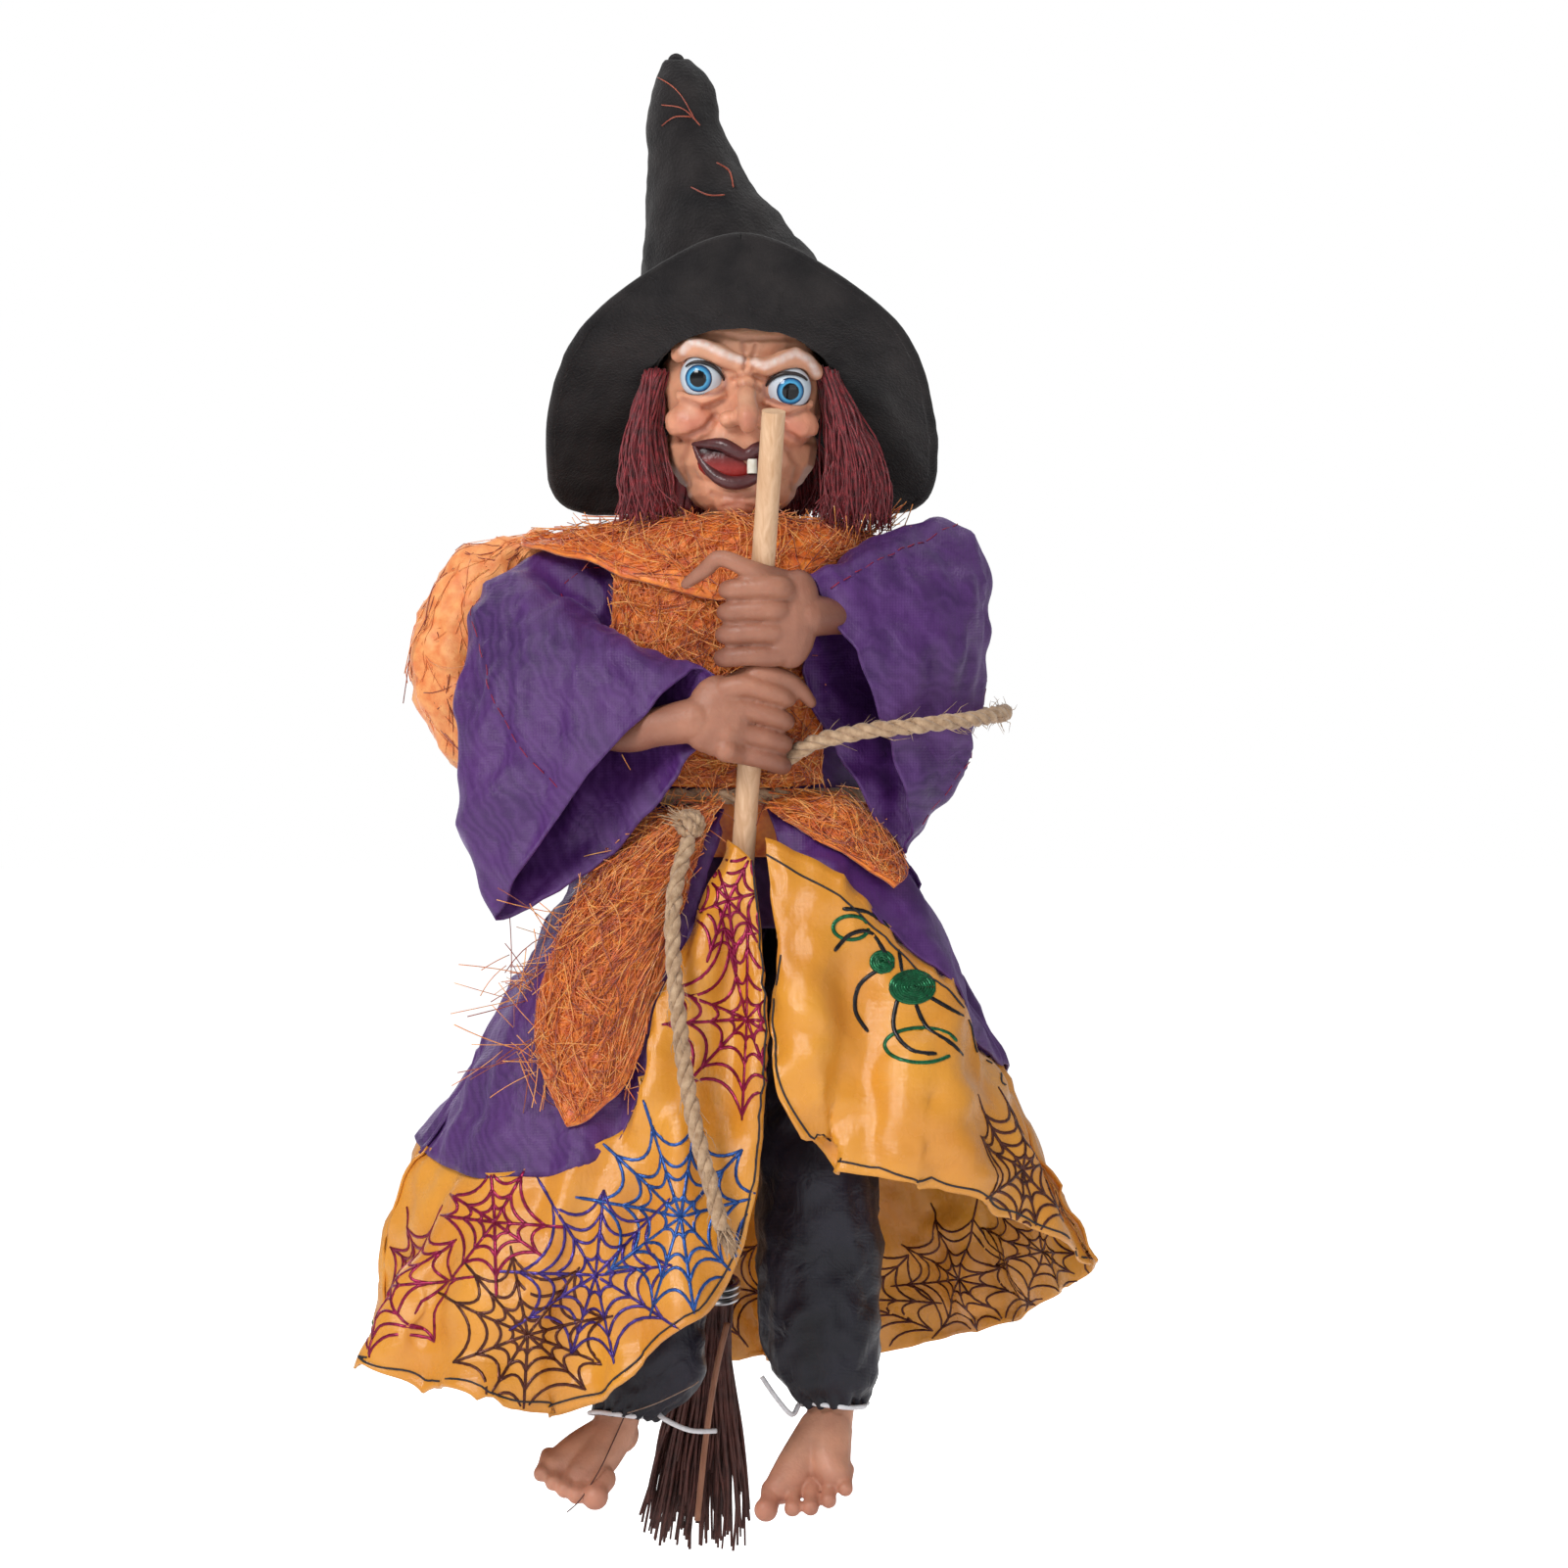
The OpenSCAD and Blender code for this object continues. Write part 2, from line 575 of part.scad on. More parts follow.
// Fibre mesh lies on a skirt panel, below the belt and to one side of the broomstick.
// Each row is how far down the panel it is, and between which of the panel's columns.
apron_gap = 2;
function apron_net(panel, rows, out) =
    let (g = smooth_net(panel, 4, 3))
    [for (r = rows) [for (k = [0 : 5]) let (v = r[1] + (r[2] - r[1]) * k / 5)
        net_at(g, r[0], v) + net_normal(g, round(r[0]), round(v)) * out]];

module apron_left() {
    rows = [[0.6, 6, 12], [1.6, 5.4, 12], [3, 5, 11.6], [4.4, 5.4, 11], [5.6, 6, 10.4], [7, 7.6, 9.4]];
    torso() color(orange) cloth(apron_net(skirt_left_net, rows, apron_gap), 1.2, 1, 1);
}
module apron_right() {
    rows = [[0.6, 4, 12], [1.6, 4, 12], [3, 4.6, 11.6], [4.4, 5.6, 11], [5.6, 7, 10]];
    torso() color(orange) cloth(apron_net(skirt_right_net, rows, -apron_gap), 1.2, 1, 1);
}

// ---------- shawl ----------

collar_inner = level(0, 0, 4.6, 13.5, 13, 12);
collar_middle = [for (k = [0 : 11]) let (a = 30 * k)
    [(cos(a) < 0 ? 33 : 25) * cos(a), 21 * sin(a), 4.2]];
collar_outer = [
    [33, 0, 2], [29, 13, -2], [17, 23, -14], [0, 26, -20], [-22, 24, -14], [-45, 14, -1],
    [-53, 1, 0.5], [-42, -14, -2], [-22, -25, -9], [-3, -27, -13], [14, -25.6, -9], [27, -15, -2]
];

module shawl_collar() {
    rows = [for (r = [collar_inner, collar_middle, collar_outer]) smooth_loop(r, 3)];
    n = len(rows[0]);
    top = [rows[0], (rows[0] + rows[1]) / 2, rows[1], (rows[1] + rows[2]) / 2 + [for (k = [0 : n - 1]) [0, 0, 1]], rows[2]];
    under = [for (r = top) [for (p = r) p - [0, 0, 1.3]]];
    all = concat(top, reverse(under));
    torso() color(orange) difference() {
        polyhedron([each for (r = all) r], [for (i = [0 : 9]) each band(i, (i + 1) % 10, n)]);
        translate([-3, 11, -32]) cube([6, 26, 50]);
    }
}

shawl_front_net = [
    [[-30, -18.5, -13], [-20, -23.6, -16], [-6, -25.4, -18], [8, -25, -17], [16, -22, -15]],
    [[-31, -17.5, -32], [-21, -23, -34], [-6, -25.6, -36], [8, -25.2, -36], [19, -20.6, -34]],
    [[-27, -18.2, -56], [-18, -22.4, -57], [-6, -24, -57.4], [8, -24, -57.4], [19, -20.6, -56.5]]
];
module shawl_front() { torso() color(orange) cloth(shawl_front_net, 1.2, 3, 3); }

module shawl_tail() {
    rings = [
        ring([-55, 13, -1.5], [-2, 0, 3], [0, 5, 0], 16),
        ring([-61, 14, -9], [-9, 0, 7], [0, 8.5, 0], 16),
        ring([-65, 15, -22], [-13.5, 0, 4], [0, 10, 0], 16),
        ring([-64.5, 15, -34], [-14.5, 0, -2], [0, 10, 0], 16),
        ring([-60, 15, -44], [-10, 0, -7], [0, 8, 0], 16),
        ring([-54, 14, -48], [-4, 0, -5], [0, 4, 0], 16)
    ];
    torso() color(orange) loft(rings);
}

// ---------- arms ----------

// Each row is a ring's top point, its bottom point and its half depth
left_rows = [
    [[-34, 0, -2], [-35, 0, -27], 11], [[-47, -6, -5], [-58, -8, -25], 11],
    [[-38, -20, -16], [-65, -14, -50], 12], [[-26, -31, -23], [-65, -19, -68], 11],
    [[-11, -39, -29], [-56, -27, -88], 8]
];
right_rows = [
    [[34, 0, 0.5], [35, 0, -27], 11], [[45, -5, 4], [53, -7, -24], 11],
    [[36, -18, 2], [53.5, -14, -45], 12], [[25, -30, -2], [49, -20, -58], 11],
    [[15, -39.4, -7], [39.5, -25, -73], 9.6]
];
function sleeve_rings(rows) = [
    for (i = [0 : len(rows) - 1])
        let (top = rows[i][0], low = rows[i][1], half = (top - low) / 2)
        let (before = rows[max(i - 1, 0)], after = rows[min(i + 1, len(rows) - 1)])
        let (along = unit((after[0] + after[1]) - (before[0] + before[1])))
        ring((top + low) / 2, half, unit(cross(half, along)) * rows[i][2], 18)
];
function smooth_rings(rings, k) = transpose([for (line = transpose(rings)) smooth(line, k)]);

module sleeve_left() { torso() color(purple) sleeve_shell(smooth_rings(sleeve_rings(left_rows), 3), cloth_t); }
module sleeve_right() { torso() color(purple) sleeve_shell(smooth_rings(sleeve_rings(right_rows), 3), cloth_t); }

left_wrist = [-14.4, -38.5, -41];
right_wrist = [19.4, -40.5, -15];
wire_r = 1.1;
module arm_wire_left() {
    torso() color([0.6, 0.6, 0.62])
        cord(smooth([[-22.2, 0, -16], [-36, 0, -15], [-50, -6, -16], [-52, -16, -30], [-43, -26, -42], [-28, -33.6, -45],
            left_wrist], 4), wire_r);
}
module arm_wire_right() {
    torso() color([0.6, 0.6, 0.62])
        cord(smooth([[22.2, 0, -16], [36, -1, -14], [46.5, -6.4, -11.5], [44, -18, -17], [33.4, -31, -19.5], right_wrist], 4), wire_r);
}

// A fist lofted from the wrist, with the stick's bore through it
module fist(rings, z) {
    difference() {
        loft(rings);
        on_broom(z + 40) cylinder(r = stick_r + grip_clearance, h = 90);
    }
}

module hand_left() {
    at = broom_at(-43);
    torso() color(hand_tan) fist([
        ring([-13.2, -38.5, -41], [0, 0, 7.6], [0, -5, 0], 14),
        ring([-8, -39, -41.5], [0, 0, 8.6], [0, -6, 0], 14),
        ring([-2, at[1] - 3, -42.5], [0, 0, 10], [0, -8, 0], 14),
        ring([5, at[1] - 2.6, -43], [0, 0, 10], [0, -8.4, 0], 14),
        ring([9, at[1] - 2.6, -43], [0, 0, 8], [0, -6.4, 0], 14),
        ring([11, at[1] - 2.6, -43], [0, 0, 4], [0, -3, 0], 14)
    ], -43);
}

module hand_right() {
    at = broom_at(-18);
    torso() color(hand_tan) fist([
        ring([18.2, -42, -15], [0, 0, 7], [0, 4.6, 0], 14),
        ring([14, -42, -15.5], [0, 0, 8.6], [0, 6, 0], 14),
        ring([8, at[1] - 2, -17], [0, 0, 10.4], [0, 8, 0], 14),
        ring([1, at[1] - 2.6, -18], [0, 0, 10.4], [0, 8.4, 0], 14),
        ring([-3, at[1] - 2.6, -18], [0, 0, 8.4], [0, 6.4, 0], 14),
        ring([-5, at[1] - 2.6, -18], [0, 0, 4], [0, 3, 0], 14)
    ], -18);
}

// ---------- rope ----------

belt_z = -59.5;
module waist_rope() {
    torso() color(jute) {
        cord_loop([for (k = [0 : 35]) [33.6 * cos(10 * k), 0.8 + 24.7 * sin(10 * k), belt_z]], rope_d / 2);
        translate([-12, -32, -66]) sphere(r = 3.6, $fn = 20);
    }
}

// The belt's long end crosses the right sleeve and runs round the back
wrap_route = [
    [9, -29.5, -52], [17, -35, -47], [27, -39, -44.5], [40, -40, -43], [53.5, -33, -41.5], [61.5, -18, -40], [62.5, -2, -39.5],
    [56, 13, -40.5], [43, 23.5, -43], [26, 28.5, -47], [8, 30, -51]
];
module rope_wrap() { torso() color(jute) cord(smooth(wrap_route, 2), rope_d / 2); }

// The free tail hangs from the knot
tail_route = [
    [-12.3, -33.4, -69.8], [-13.6, -36, -74], [-15.4, -39.4, -81], [-16, -43, -89], [-15.8, -46.2, -98], [-15, -48.8, -107],
    [-14, -50.6, -116], [-12.8, -52.4, -125], [-11.2, -53.8, -134], [-9, -54.8, -143], [-6.6, -55.4, -152], [-4.2, -55.8, -161]
];
module rope_tail() { torso() color(jute) cord(tail_route, rope_d / 2); }

// ---------- legs ----------

left_ankle = [-29, -12, -206];
right_ankle = [22, -10, -204];

module leg_rod(side, ankle) {
    hip = [side * hip_x, hip_y, hip_z];
    color([0.8, 0.78, 0.74]) difference() {
        union() {
            translate(hip) rotate([0, 90, 0]) cylinder(r = 4, h = 6.6, center = true);
            rod(hip + unit(ankle - hip) * 2.5, ankle, 2.4);
        }
        translate(hip) rotate([0, 90, 0]) cylinder(r = pin_r + run_clearance, h = 20, center = true);
    }
}
module leg_rod_left() { torso() leg_rod(-1, left_ankle); }
module leg_rod_right() { torso() leg_rod(1, right_ankle); }

module trouser(rows) {
    color(trouser_black) sleeve_shell(smooth_rings([for (r = rows) level(r[0], r[1], r[2], r[3], r[4], 18)], 2), cloth_t);
}
module trouser_left() {
    torso() trouser([
        [-15, -2, -87, 9, 11], [-18, -4, -106, 11, 14], [-22, -7, -128, 13, 14], [-24, -10, -150, 13.2, 12.5],
        [-23.2, -14.8, -172, 15.6, 10.4], [-23, -15.4, -190, 15.6, 10.4], [-23.5, -14, -201, 13, 9], [-28.2, -12, -207, 7.4, 7.4]
    ]);
}
module trouser_right() {
    torso() trouser([
        [15, -2, -87, 9, 11], [16.5, -4, -106, 12, 14], [17.6, -6, -128, 13.6, 14.5], [18, -8, -150, 14.2, 14.5],
        [18.6, -9, -172, 14.4, 14], [19, -9.6, -188, 14, 13], [20.4, -10, -199, 11.4, 10.4], [22, -10, -205, 7.4, 7.4]
    ]);
}

// A bare foot lofted from the ankle to the toes, with a socket for the leg rod
module foot(ankle, heel, arch, ball, toe) {
    rod_top = ankle + [0, 0, 6];
    color(skin_tan) difference() {
        loft(smooth_rings([
            level(ankle[0], ankle[1], ankle[2] + 3, 5.2, 5, 16),
            level(ankle[0], ankle[1], ankle[2] - 4, 5, 5, 16),
            ring(heel, [5.6, 0, 0], [0, 6.6, -2], 16),
            ring(arch, [7, 0, 0], [0, 5, -4], 16),
            ring(ball, [9, 0, 0], [0, 2.6, -4.4], 16),
            ring(toe, [8, 0, -1], [0, 1.4, -2.6], 16)
        ], 2));
        rod([ankle[0], ankle[1], ankle[2] - 0.5] - [0, 0, 0], rod_top, 3.2);
    }
}
module foot_left() {
    torso() foot(left_ankle, [-30.5, -12, -213.5], [-34, -16, -218], [-37.5, -21, -222.5], [-40.5, -25.4, -226.5]);
}
module foot_right() {
    torso() foot(right_ankle, [20.6, -10, -212], [17.6, -14, -218], [15.6, -19, -223.5], [14.2, -23.4, -228]);
}

module ankle_tie(at, wide, deep) {
    color("white") cord_loop([for (k = [0 : 19]) at + [wide * cos(18 * k), deep * sin(18 * k), 0.3 * sin(36 * k)]], 0.7, 6);
}
module ankle_tie_left() { torso() ankle_tie([-28.2, -12, -206.8], 9.6, 9.4); }
module ankle_tie_right() { torso() ankle_tie([22, -10, -204.8], 9.6, 9.4); }

// ---------- broom ----------

module broomstick() { torso() color([0.85, 0.65, 0.42]) rod(broom_top, broom_at(stick_end_z), stick_r); }

bristle_rows = [[-171, 4], [-182, 4.8], [-193, 6], [-204, 8.4], [-214, 11], [-226, 13.6], [-236, bristle_r], [broom_tip_z, bristle_r]];
module bristles() {
    torso() color([0.25, 0.12, 0.08]) difference() {
        loft([for (r = bristle_rows) let (c = broom_at(r[0])) level(c[0], c[1], r[0], r[1], r[1], 20)]);
        rod(broom_at(-160), broom_at(stick_end_z), stick_r);
    }
}

module bristle_binding() {
    torso() color([0.7, 0.6, 0.4]) on_broom(-178)
        for (turn = [-1 : 1]) translate([0, 0, turn * 1.7]) rotate_extrude() translate([5.9, 0]) circle(r = 0.75, $fn = 24);
}

hat_crown();
hat_brim();
head();
eyeball_left();
eyeball_right();
tooth();
hair_left();
hair_right();
hair_back();
neck_post();
unit_front_shell();
unit_back_shell();
battery_cover();
battery_cells();
battery_contacts();
circuit_board();
speaker();
microphone();
motor();
eccentric_weight();
switch_body();
switch_knob();
unit_screws();
hip_pin();
dress_bodice();
skirt_back();
skirt_left();
skirt_right();
hem_back();
hem_left();
hem_right();
apron_left();
apron_right();
shawl_collar();
shawl_front();
shawl_tail();
sleeve_left();
sleeve_right();
arm_wire_left();
arm_wire_right();
hand_left();
hand_right();
waist_rope();
rope_wrap();
rope_tail();
leg_rod_left();
leg_rod_right();
trouser_left();
trouser_right();
foot_left();
foot_right();
ankle_tie_left();
ankle_tie_right();
broomstick();
bristles();
bristle_binding();
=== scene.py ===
import json
import math
import bpy
import numpy as np
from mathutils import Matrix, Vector
from mathutils.bvhtree import BVHTree


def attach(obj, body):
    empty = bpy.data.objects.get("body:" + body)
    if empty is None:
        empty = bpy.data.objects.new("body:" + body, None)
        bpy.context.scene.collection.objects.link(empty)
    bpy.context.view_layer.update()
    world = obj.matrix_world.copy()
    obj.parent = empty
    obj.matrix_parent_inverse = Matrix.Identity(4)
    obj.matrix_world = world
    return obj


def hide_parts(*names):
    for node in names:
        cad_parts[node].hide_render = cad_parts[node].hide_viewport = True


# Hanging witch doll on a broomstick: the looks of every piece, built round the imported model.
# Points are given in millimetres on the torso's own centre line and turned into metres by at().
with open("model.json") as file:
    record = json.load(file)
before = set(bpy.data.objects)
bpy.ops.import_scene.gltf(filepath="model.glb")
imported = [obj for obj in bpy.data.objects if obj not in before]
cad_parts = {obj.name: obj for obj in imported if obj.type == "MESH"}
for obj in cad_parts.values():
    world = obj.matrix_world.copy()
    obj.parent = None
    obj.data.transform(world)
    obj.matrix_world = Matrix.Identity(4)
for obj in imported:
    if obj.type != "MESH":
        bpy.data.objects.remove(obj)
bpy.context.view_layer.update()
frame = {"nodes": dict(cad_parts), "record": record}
TORSO_Y = next(j for j in frame["record"]["behaviour"]["joints"] if j["name"] == "head_turn")["pos_m"][1]
MM = 0.001
TURN = 2 * math.pi


def at(points):
    """Millimetres on the torso's centre line to metres in the shared frame."""
    return np.asarray(points, float) * MM + np.array([0.0, TORSO_Y, 0.0])


# ---------- curves and surfaces ----------

def catmull(a, b, c, d, t):
    """The point at t of 0..1 from b to c on a Catmull-Rom curve through a, b, c and d."""
    return 0.5 * (2 * b + (c - a) * t + (2 * a - 5 * b + 4 * c - d) * t * t
                  + (3 * b - a - 3 * c + d) * t ** 3)


def smooth(points, steps, closed=False):
    """A smooth curve through points, along the first axis, with steps between neighbours."""
    p = np.asarray(points, float)
    n = len(p)
    spans = n if closed else n - 1
    out = []
    for i in range(spans):
        a, d = (p[(i - 1) % n], p[(i + 2) % n]) if closed else (p[max(i - 1, 0)], p[min(i + 2, n - 1)])
        b, c = p[i], p[(i + 1) % n]
        out += [catmull(a, b, c, d, k / steps) for k in range(steps)]
    if not closed:
        out.append(p[-1])
    return np.array(out)


def resample(path, count):
    """count points evenly spaced along a path."""
    run = np.concatenate([[0], np.cumsum(lengths(path))])
    want = np.linspace(0, run[-1], count)
    return np.stack([np.interp(want, run, path[:, k]) for k in range(3)], axis=1)


def refine(net, down, across, closed=False):
    """A net of control points refined both ways; closed joins its last column to its first."""
    rows = smooth(net, down)
    return np.swapaxes(smooth(np.swapaxes(rows, 0, 1), across, closed), 0, 1)


def normals(grid, closed=False):
    """Unit normals of a grid of points; closed joins its last column to its first."""
    if closed:
        wide = np.concatenate([grid[:, -1:], grid, grid[:, :1]], axis=1)
        across = (wide[:, 2:] - wide[:, :-2])
    else:
        across = np.gradient(grid, axis=1)
    n = np.cross(np.gradient(grid, axis=0), across)
    return n / np.maximum(np.linalg.norm(n, axis=2, keepdims=True), 1e-12)


def ripple(points, seed, size, octaves):
    """Smooth noise of about -1..1 from seeded plane waves; size is the largest wave in metres."""
    rng = np.random.default_rng(seed)
    total = np.zeros(points.shape[:-1])
    weight = 0.0
    for octave in range(octaves):
        scale = size / 1.9 ** octave
        for _ in range(5):
            direction = rng.normal(size=3)
            direction *= TURN / scale / np.linalg.norm(direction)
            total += np.sin(points @ direction + rng.uniform(0, TURN)) * 0.62 ** octave
        weight += 0.62 ** octave
    return total / weight / 2.2


def spread(u, centre, width):
    """A bell curve of height 1."""
    return np.exp(-((u - centre) / width) ** 2)


def sample(grid, u, v, lift=0.0, face=None):
    """Points on a grid at fractions u down and v across, lifted along its normals."""
    face = normals(grid) if face is None else face
    i = np.clip(u, 0, 1) * (grid.shape[0] - 1.001)
    j = np.clip(v, 0, 1) * (grid.shape[1] - 1.001)
    a, b = i.astype(int), j.astype(int)
    s, t = (i - a)[..., None], (j - b)[..., None]

    def mix(g):
        top = g[a, b] * (1 - t) + g[a, b + 1] * t
        return top * (1 - s) + (g[a + 1, b] * (1 - t) + g[a + 1, b + 1] * t) * s
    return mix(grid) + mix(face) * np.asarray(lift)[..., None]


def joined(grid):
    """A closed grid with its first column repeated at the end."""
    return np.concatenate([grid, grid[:, :1]], axis=1)


def lengths(path):
    """The lengths of a path's steps, along the first axis."""
    return np.linalg.norm(np.diff(path, axis=0), axis=-1)


# ---------- mesh makers ----------

def piece(name, verts, faces, material, body, replaces=()):
    """A mesh piece that rides on a body and stands for CAD nodes."""
    mesh = bpy.data.meshes.new(name)
    mesh.from_pydata(np.asarray(verts, float).tolist(), [], [list(map(int, f)) for f in faces])
    mesh.validate()
    mesh.update()
    return dressed(name, mesh, material, body, replaces)


def dressed(name, mesh, material, body, replaces):
    """An object for a mesh, smooth, in its material, riding on its body."""
    mesh.polygons.foreach_set("use_smooth", [True] * len(mesh.polygons))
    obj = bpy.data.objects.new(name, mesh)
    bpy.context.scene.collection.objects.link(obj)
    mesh.materials.clear()
    mesh.materials.append(material)
    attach(obj, body)
    if replaces:
        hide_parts(*replaces)
    return obj


def strip_faces(rows, cols, start, closed):
    """Quads over a grid of points that begins at vertex start."""
    out = []
    for i in range(rows - 1):
        for j in range(cols if closed else cols - 1):
            k = (j + 1) % cols
            a, b = start + i * cols, start + (i + 1) * cols
            out.append((a + j, a + k, b + k, b + j))
    return out


def thick(grid, t, closed):
    """Verts and faces of a sheet t thick centred on a grid, closed round its edges."""
    face = normals(grid, closed)
    rows, cols = grid.shape[:2]
    verts = np.concatenate([(grid + face * t / 2).reshape(-1, 3), (grid - face * t / 2).reshape(-1, 3)])
    n = rows * cols
    faces = [f[::-1] for f in strip_faces(rows, cols, 0, closed)] + strip_faces(rows, cols, n, closed)
    rim = [[i * cols + j for j in range(cols)] for i in (0, rows - 1)]
    for k, line in enumerate(rim):
        pairs = list(zip(line, line[1:] + line[:1])) if closed else list(zip(line, line[1:]))
        faces += [(a, b, b + n, a + n) if k == 0 else (b, a, a + n, b + n) for a, b in pairs]
    if not closed:
        for k, j in enumerate((0, cols - 1)):
            line = [i * cols + j for i in range(rows)]
            faces += [(b, a, a + n, b + n) if k == 0 else (a, b, b + n, a + n) for a,
                      b in zip(line, line[1:])]
    return verts, faces


def sheet_piece(name, grid, t, material, body, replaces, closed=False):
    verts, faces = thick(grid, t, closed)
    return piece(name, verts, faces, material, body, replaces)


def tube_parts(path, radius, sides):
    """Verts and faces of one tube along a path; radius is a number or one value per point."""
    path = np.asarray(path, float)
    n = len(path)
    radius = np.broadcast_to(np.asarray(radius, float), (n,))
    along = np.gradient(path, axis=0)
    along /= np.maximum(np.linalg.norm(along, axis=1, keepdims=True), 1e-12)
    ref = np.array([0.0, 0, 1]) if abs(along[0][2]) < 0.9 else np.array([0.0, 1, 0])
    side = np.cross(along[0], ref)
    side /= np.linalg.norm(side)
    rings = []
    for k in range(n):
        side = side - along[k] * side.dot(along[k])
        side /= max(np.linalg.norm(side), 1e-12)
        other = np.cross(along[k], side)
        ang = np.arange(sides) * TURN / sides
        rings.append(path[k] + radius[k] * (np.cos(ang)[:, None] * side + np.sin(ang)[:, None] * other))
    faces = strip_faces(n, sides, 0, True)
    faces.append(tuple(range(sides))[::-1])
    faces.append(tuple((n - 1) * sides + k for k in range(sides)))
    return np.concatenate(rings), faces


def tubes(name, paths, radii, material, body, replaces, sides):
    """One piece made of many tubes, with one radius or list of radii for each path."""
    verts, faces, start = [], [], 0
    for path, radius in zip(paths, radii):
        v, f = tube_parts(path, radius, sides)
        verts.append(v)
        faces += [tuple(k + start for k in face) for face in f]
        start += len(v)
    return piece(name, np.concatenate(verts), faces, material, body, replaces)


def ball_mesh(balls):
    """Verts and faces of ellipsoids: each ball is (centre, radius or three radii), in mm."""
    verts, faces, start = [], [], 0
    rows, cols = 9, 14
    lat = np.linspace(-math.pi / 2, math.pi / 2, rows + 2)[1:-1]
    lon = np.arange(cols) * TURN / cols
    sphere = np.stack([np.outer(np.cos(lat), np.cos(lon)), np.outer(np.cos(lat), np.sin(lon)),
                       np.outer(np.sin(lat), np.ones(cols))], axis=2).reshape(-1, 3)
    sphere = np.concatenate([sphere, [[0, 0, -1], [0, 0, 1]]])
    for centre, radius in balls:
        pts = sphere * np.broadcast_to(np.asarray(radius, float), (3,)) + np.asarray(centre, float)
        verts.append(at(pts))
        faces += strip_faces(rows, cols, start, True)
        low, high = start + rows * cols, start + rows * cols + 1
        faces += [(low, start + (k + 1) % cols, start + k) for k in range(cols)]
        last = start + (rows - 1) * cols
        faces += [(high, last + k, last + (k + 1) % cols) for k in range(cols)]
        start += len(pts)
    return np.concatenate(verts).tolist(), faces


def fused(name, balls, voxel, material, body, replaces=(), rounds=4, shape=None, paint=None):
    """One skin over many balls: remeshed at voxel mm and smoothed, then shaped and painted by functions."""
    mesh = bpy.data.meshes.new(name + "_clay")
    verts, faces = ball_mesh(balls)
    mesh.from_pydata(verts, [], faces)
    clay = bpy.data.objects.new(name + "_clay", mesh)
    bpy.context.scene.collection.objects.link(clay)
    remesh = clay.modifiers.new("fuse", "REMESH")
    remesh.mode = "VOXEL"
    remesh.voxel_size = voxel * MM
    calm = clay.modifiers.new("calm", "SMOOTH")
    calm.factor = 0.5
    calm.iterations = rounds
    deps = bpy.context.evaluated_depsgraph_get()
    deps.update()
    skin = bpy.data.meshes.new_from_object(clay.evaluated_get(deps))
    bpy.data.objects.remove(clay)
    points, face = np.empty((2, len(skin.vertices) * 3))
    skin.vertices.foreach_get("co", points)
    skin.vertices.foreach_get("normal", face)
    points = points.reshape(-1, 3)
    if shape:
        points = shape(points, face.reshape(-1, 3))
        skin.vertices.foreach_set("co", points.reshape(-1))
        skin.update()
    if paint:
        colour = skin.color_attributes.new("paint", "FLOAT_COLOR", "POINT")
        rgba = np.ones((len(points), 4))
        rgba[:, :3] = paint(points)
        colour.data.foreach_set("color", rgba.reshape(-1))
    skin.name = name
    return dressed(name, skin, material, body, replaces)


def chain(points, radii):
    """Balls close together along a smooth path, for a finger, a toe or a limb."""
    line = smooth(points, 6)
    size = smooth(np.asarray(radii, float)[:, None], 6)[:, 0]
    run = np.concatenate([[0], np.cumsum(lengths(line))])
    gap = 0.7
    marks = np.arange(0, run[-1] + gap, gap)
    xyz = np.stack([np.interp(marks, run, line[:, k]) for k in range(3)], axis=1)
    return [(p, float(r)) for p, r in zip(xyz, np.interp(marks, run, size))]


# ---------- materials ----------

